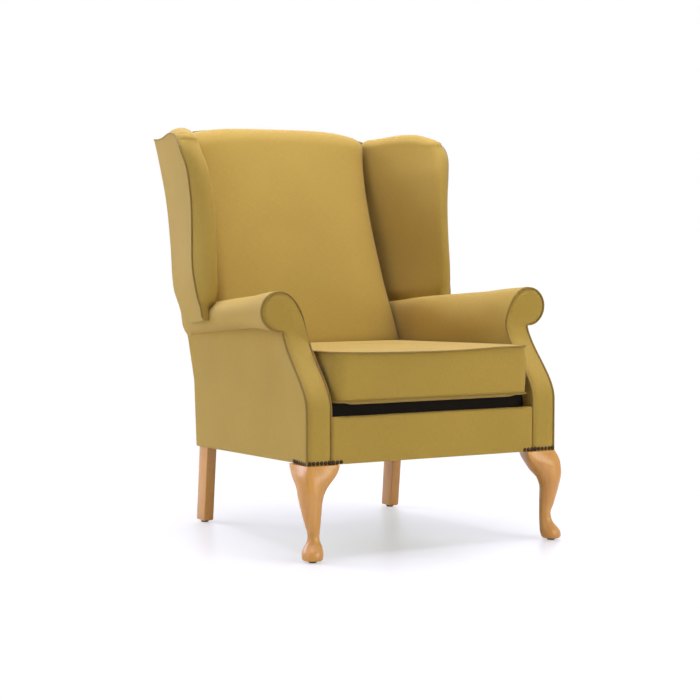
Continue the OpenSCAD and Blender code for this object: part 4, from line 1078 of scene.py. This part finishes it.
LEG_FOOT, LEG_GAP = 0.0051, 0.0003
LEG_ROUND = 0.0018


def leg_section(v):
    s = sizes()
    front, rear, wide, shift, square = (through([(r[0], r[k]) for r in LEG_ROWS[::-1]], v)
                                        for k in range(1, 6))
    out, across = Vector((1, -1)) / sqrt(2), Vector((1, 1)) / sqrt(2)
    middle = Vector((s.front_w / 2, 0)) + shift * LEG_BLOCK * out - 0.010 * (1 - v) * across
    z = mix(LEG_FOOT, s.under - LEG_GAP, v)
    ring = []
    for k in range(LEG_SIDES):
        c, d = cos(2 * pi * k / LEG_SIDES), sin(2 * pi * k / LEG_SIDES)
        forward = ((front if c > 0 else rear) - shift) * abs(c) ** (2 / square)
        sideways = wide * copysign(abs(d) ** (2 / square), d)
        ring.append((*(middle + LEG_BLOCK * (forward * out + sideways * across)), z))
    return ring


class CHAIR_OT_legs(Piece):
    """Polished cabriole front legs and raked rear legs"""
    bl_idname = "chair.legs"
    bl_label = "Legs"

    def execute(self, context):
        levels = [0, 0.004, 0.010, 0.018] + steps(0.03, 1, 70)
        pair("cabriole_leg", "show_wood", "front_leg", [leg_section(v) for v in levels], sharp=38)
        for side in SIDES:
            bm = bmesh.new()
            bm.from_mesh(frame["nodes"][f"back_post_{side}"].data)
            bmesh.ops.remove_doubles(bm, verts=bm.verts, dist=1e-5)
            bmesh.ops.dissolve_limit(bm, angle_limit=radians(1), verts=bm.verts, edges=bm.edges)
            edges = [e for e in bm.edges if e.calc_face_angle(0) > radians(30)]
            bmesh.ops.bevel(bm, geom=edges, offset=LEG_ROUND, offset_type='OFFSET', segments=3,
                            profile=0.5, affect='EDGES', material=-1, clamp_overlap=True)
            bmesh.ops.translate(bm, verts=bm.verts, vec=(0, DEPTH_MID, 0))
            place(bm, f"rear_leg_{side}", "show_wood", [f"back_post_{side}"], sharp=30)
        return {'FINISHED'}


# Linings and the parts that the tools made

PLATFORM_FRONT, PLATFORM_TOP, PLATFORM_LOW = 0.0400, 0.3519, 0.3095
PLATFORM_R = 0.010
CLOTH_T = 0.0012
SEAT_PAD_LOW, SEAT_PAD_R = 0.3172, 0.009


class CHAIR_OT_linings(Piece):
    """Dark platform cloth under the cushion and the dust cover under the seat"""
    bl_idname = "chair.linings"
    bl_label = "Linings"

    def execute(self, context):
        self.platform()
        self.wadding()
        self.dust()
        return {'FINISHED'}

    def platform(self):
        front, top, r = PLATFORM_FRONT, PLATFORM_TOP, PLATFORM_R
        profile = [(front, z) for z in steps(PLATFORM_LOW, top - r, 3)]
        profile += [(front + r * (1 - cos(a)), top - r + r * sin(a)) for a in steps(0, pi / 2, 6)[1:]]
        profile += [(y, top) for y in steps(front + r, sizes().seat_d, 20)[1:]]
        inside = [(y + (CLOTH_T if z < top - 0.001 else 0), z - (CLOTH_T if z >= top - 0.009 else 0))
                  for y, z in profile[::-1]]
        def wide(y):
            return inner_x(y) - 0.001
        rings = []
        for t in steps(-1, 1, 24):
            ring = [(t * wide(y), y, z) for y, z in profile]
            # Each inner point is as wide as the outer one that it backs
            ring += [(t * wide(y), *p) for (y, z), p in zip(profile[::-1], inside)]
            rings.append(ring)
        piece = loft("platform_lining", "black_cloth", ["platform_cloth"], rings)

    def wadding(self):
        high, back = PLATFORM_TOP - 0.0018, sizes().seat_d - 0.001
        levels = [(SEAT_PAD_LOW, 0.004), (SEAT_PAD_LOW + 0.004, 0)]
        levels += [(high - SEAT_PAD_R * (1 - sin(a)), SEAT_PAD_R * (1 - cos(a)))
                   for a in steps(0, pi / 2, 6)]
        rings = []
        for z, inset in levels:
            def half(y):
                return inner_x(y) - 0.003 - inset
            y0, y1 = PLATFORM_FRONT + 0.0018 + inset, back - inset
            x0, x1 = half(PLATFORM_FRONT), half(back)
            ring = [(x, y0, z) for x in steps(-x0, x0, 24)]
            ring += [(half(y), y, z) for y in steps(y0, y1, 24)[1:]]
            ring += [(x, y1, z) for x in steps(x1, -x1, 24)[1:]]
            ring += [(-half(y), y, z) for y in steps(y1, y0, 24)[1:-1]]
            rings.append(ring)
        loft("seat_wadding", "wadding", ["spring_pad"], rings, fill=0.9)

    def dust(self):
        y0, post = 0.0158, post_y(0.195) - 0.002
        y1 = post + POST_D
        rows = [(y, side_x(y) - PANEL_T - 0.0023 if y <= post else POST_X - 0.026 - 0.002)
                for y in steps(y0, post, 14) + [post + 0.001, y1]]
        rings = []
        for y, half in rows:
            z = under_z(y) + 0.0012
            rings.append([(x, y, z) for x in steps(-half, half, 20)]
                         + [(x, y, z + 0.0013) for x in steps(half, -half, 20)])
        piece = loft("dust_lining", "black_cloth", ["dust_cover"], rings)


NAIL_D, NAIL_H, NAIL_PITCH = 0.0100, 0.0022, 0.0101
NAILS_FRONT, NAILS_SIDE = 9, 7


class CHAIR_OT_nails(Piece):
    """Domed decorative nails round the two front corners"""
    bl_idname = "chair.nails"
    bl_label = "Nails"

    def execute(self, context):
        s = sizes()
        z = s.under + NAIL_D * 0.55
        forward = Matrix.Rotation(pi / 2, 4, 'X')
        outward = (Matrix.Rotation(atan2((s.front_w - s.rear_w) / 2, s.body_d), 4, 'Z')
                   @ Matrix.Rotation(pi / 2, 4, 'Y'))
        seats = [(Vector((s.front_w / 2 - 0.006 - NAIL_PITCH * i, 0.0006, z)), forward)
                 for i in range(NAILS_FRONT)]
        seats += [(Vector((side_x(y) - 0.0004, y, z)), outward)
                  for y in [0.0115 + NAIL_PITCH * i for i in range(NAILS_SIDE)]]
        bm = bmesh.new()
        for side in (1, -1):
            for k, (seat, turn) in enumerate(seats):
                head = bmesh.ops.create_uvsphere(bm, u_segments=20, v_segments=12,
                                                 radius=NAIL_D / 2)["verts"]
                bmesh.ops.scale(bm, vec=(1, 1, 2 * NAIL_H / NAIL_D), verts=head)
                tilt = Matrix.Rotation(0.06 * noise.noise(Vector((k * 3.1, side, 0))), 4, 'X')
                seated = Matrix.Scale(side, 4, (1, 0, 0)) @ Matrix.Translation(seat) @ turn @ tilt
                bmesh.ops.transform(bm, matrix=seated, verts=head)
        place(bm, "nail_heads", "nails", ["nail_studs"])
        return {'FINISHED'}


class CHAIR_OT_hardware(Piece):
    """Finishes for the timbers, springs, nails, glides and zip"""
    bl_idname = "chair.hardware"
    bl_label = "Timbers and hardware"

    def execute(self, context):
        slots = {p["node"]: p["material_slot"] for p in frame["record"]["subparts"]}
        for name, node in frame["nodes"].items():
            material = finish(slots[name])
            if not node.material_slots:
                node.data.materials.append(material)
            for slot in node.material_slots:
                slot.material = material
        return {'FINISHED'}


# Stage

# Name, place, size, power and colour of each lamp; all of them face AIM
LAMPS = [("top", (0, 0, 3.3), 2.4, 122, (1, 1, 1.35)),
         ("left", (-3.2, -0.3, 1.6), 2.2, 26, (1, 1.01, 1.15)),
         ("front", (1.6, -3.6, 1.6), 2.2, 68, (1, 0.99, 0.95)),
         ("back_left", (-2.2, 2.6, 2.4), 2.2, 66, (1, 1.02, 1.35)),
         ("back_right", (2.2, 2.6, 2.4), 2.2, 48, (1, 1.02, 1.4))]
AIM = Vector((0, 0, 0.5))

# The camera solved from the photograph: its place, and its right, up and backward axes
CAMERA_AT = (-2.32927, -3.69118 - DEPTH_MID, 0.73182)
CAMERA_AXES = ((0.86911, -0.49462, -0.0001), (0.03007, 0.05265, 0.99816), (-0.49370, -0.86751, 0.06063))
LENS, FLOOR_HALF = 97.20, 30.0


class CHAIR_OT_stage(Piece):
    """Floor, lights and camera"""
    bl_idname = "chair.stage"
    bl_label = "Stage"

    def execute(self, context):
        scene = context.scene
        bm = bmesh.new()
        bmesh.ops.create_grid(bm, x_segments=1, y_segments=1, size=FLOOR_HALF)
        mesh = bpy.data.meshes.new("floor")
        bm.to_mesh(mesh)
        bm.free()
        floor = bpy.data.objects.new("floor", mesh)
        scene.collection.objects.link(floor)
        mesh.materials.append(self.floor_material())
        scene.world = self.studio()
        for values in LAMPS:
            self.lamp(*values)
        data = bpy.data.cameras.new("camera")
        data.sensor_width = 36
        data.lens = LENS
        camera = bpy.data.objects.new("camera", data)
        scene.collection.objects.link(camera)
        turn = Matrix(CAMERA_AXES).transposed().to_4x4()
        camera.matrix_world = Matrix.Translation(CAMERA_AT) @ turn
        scene.camera = camera
        scene.view_settings.view_transform = 'Standard'
        return {'FINISHED'}

    def lamp(self, name, at, size, power, colour):
        data = bpy.data.lights.new(name, 'AREA')
        data.shape = 'SQUARE'
        data.size = size
        data.energy = power
        data.color = colour
        lamp = bpy.data.objects.new(name, data)
        bpy.context.scene.collection.objects.link(lamp)
        lamp.location = at
        lamp.rotation_euler = (AIM - Vector(at)).to_track_quat('-Z', 'Y').to_euler()

    def studio(self):
        """White where the camera or a reflection sees it, and a faint fill elsewhere."""
        n = Nodes(bpy.data.worlds.new("studio"))
        rays = n.add("ShaderNodeLightPath").outputs
        light = n.add("ShaderNodeBackground", Color=(0.96, 0.98, 1.0, 1), Strength=0.03)
        seen = n.add("ShaderNodeBackground", Color=(1, 1, 1, 1))
        direct = n.math('MAXIMUM', rays["Is Camera Ray"], rays["Is Glossy Ray"])
        n.swap(direct, light.outputs[0], seen.outputs[0])
        return n.owner

    def floor_material(self):
        """A pale floor near the chair that fades into white for the camera."""
        n = Nodes("floor")
        n.give(n.shader, Base_Color=(0.92, 0.91, 0.84, 1), Roughness=0.32, Specular_IOR_Level=0.35)
        white = n.add("ShaderNodeEmission", Color=(1, 1, 1, 1), Strength=1.02)
        reach = n.add("ShaderNodeVectorMath", operation='LENGTH')
        n.join(n.where(), reach.inputs[0])
        fade = n.span(reach.outputs["Value"], 0.55, 1.25, 0.45, 1.0, interpolation_type='SMOOTHSTEP')
        rays = n.add("ShaderNodeLightPath").outputs
        n.swap(n.math('MULTIPLY', rays["Is Camera Ray"], fade), n.shader.outputs[0], white.outputs[0])
        return n.owner


OPERATORS = (CHAIR_OT_hardware, CHAIR_OT_nails, CHAIR_OT_legs, CHAIR_OT_border, CHAIR_OT_facings,
             CHAIR_OT_arms, CHAIR_OT_wings, CHAIR_OT_back, CHAIR_OT_cushion, CHAIR_OT_linings,
             CHAIR_OT_stage)


class CHAIR_PT_panel(bpy.types.Panel):
    """Lists the chair's pieces"""
    bl_idname = "CHAIR_PT_panel"
    bl_label = "Fireside chair"
    bl_space_type = 'VIEW_3D'
    bl_region_type = 'UI'
    bl_category = "Chair"

    def draw(self, context):
        column = self.layout.column()
        for operator in OPERATORS:
            column.operator(operator.bl_idname)


CLASSES = (ChairSizes, ChairColours, *OPERATORS, CHAIR_PT_panel)


def register():
    for cls in CLASSES:
        bpy.utils.register_class(cls)
    bpy.types.Scene.chair_sizes = bpy.props.PointerProperty(type=ChairSizes)
    bpy.types.Scene.chair_colours = bpy.props.PointerProperty(type=ChairColours)


def unregister():
    del bpy.types.Scene.chair_colours
    del bpy.types.Scene.chair_sizes
    for cls in reversed(CLASSES):
        bpy.utils.unregister_class(cls)


def main():
    register()
    bpy.ops.chair.hardware()
    bpy.ops.chair.nails()
    bpy.ops.chair.legs()
    bpy.ops.chair.border()
    bpy.ops.chair.facings()
    bpy.ops.chair.arms()
    bpy.ops.chair.wings()
    bpy.ops.chair.back()
    bpy.ops.chair.cushion()
    bpy.ops.chair.linings()
    bpy.ops.chair.stage()


if __name__ == "__main__":
    main()
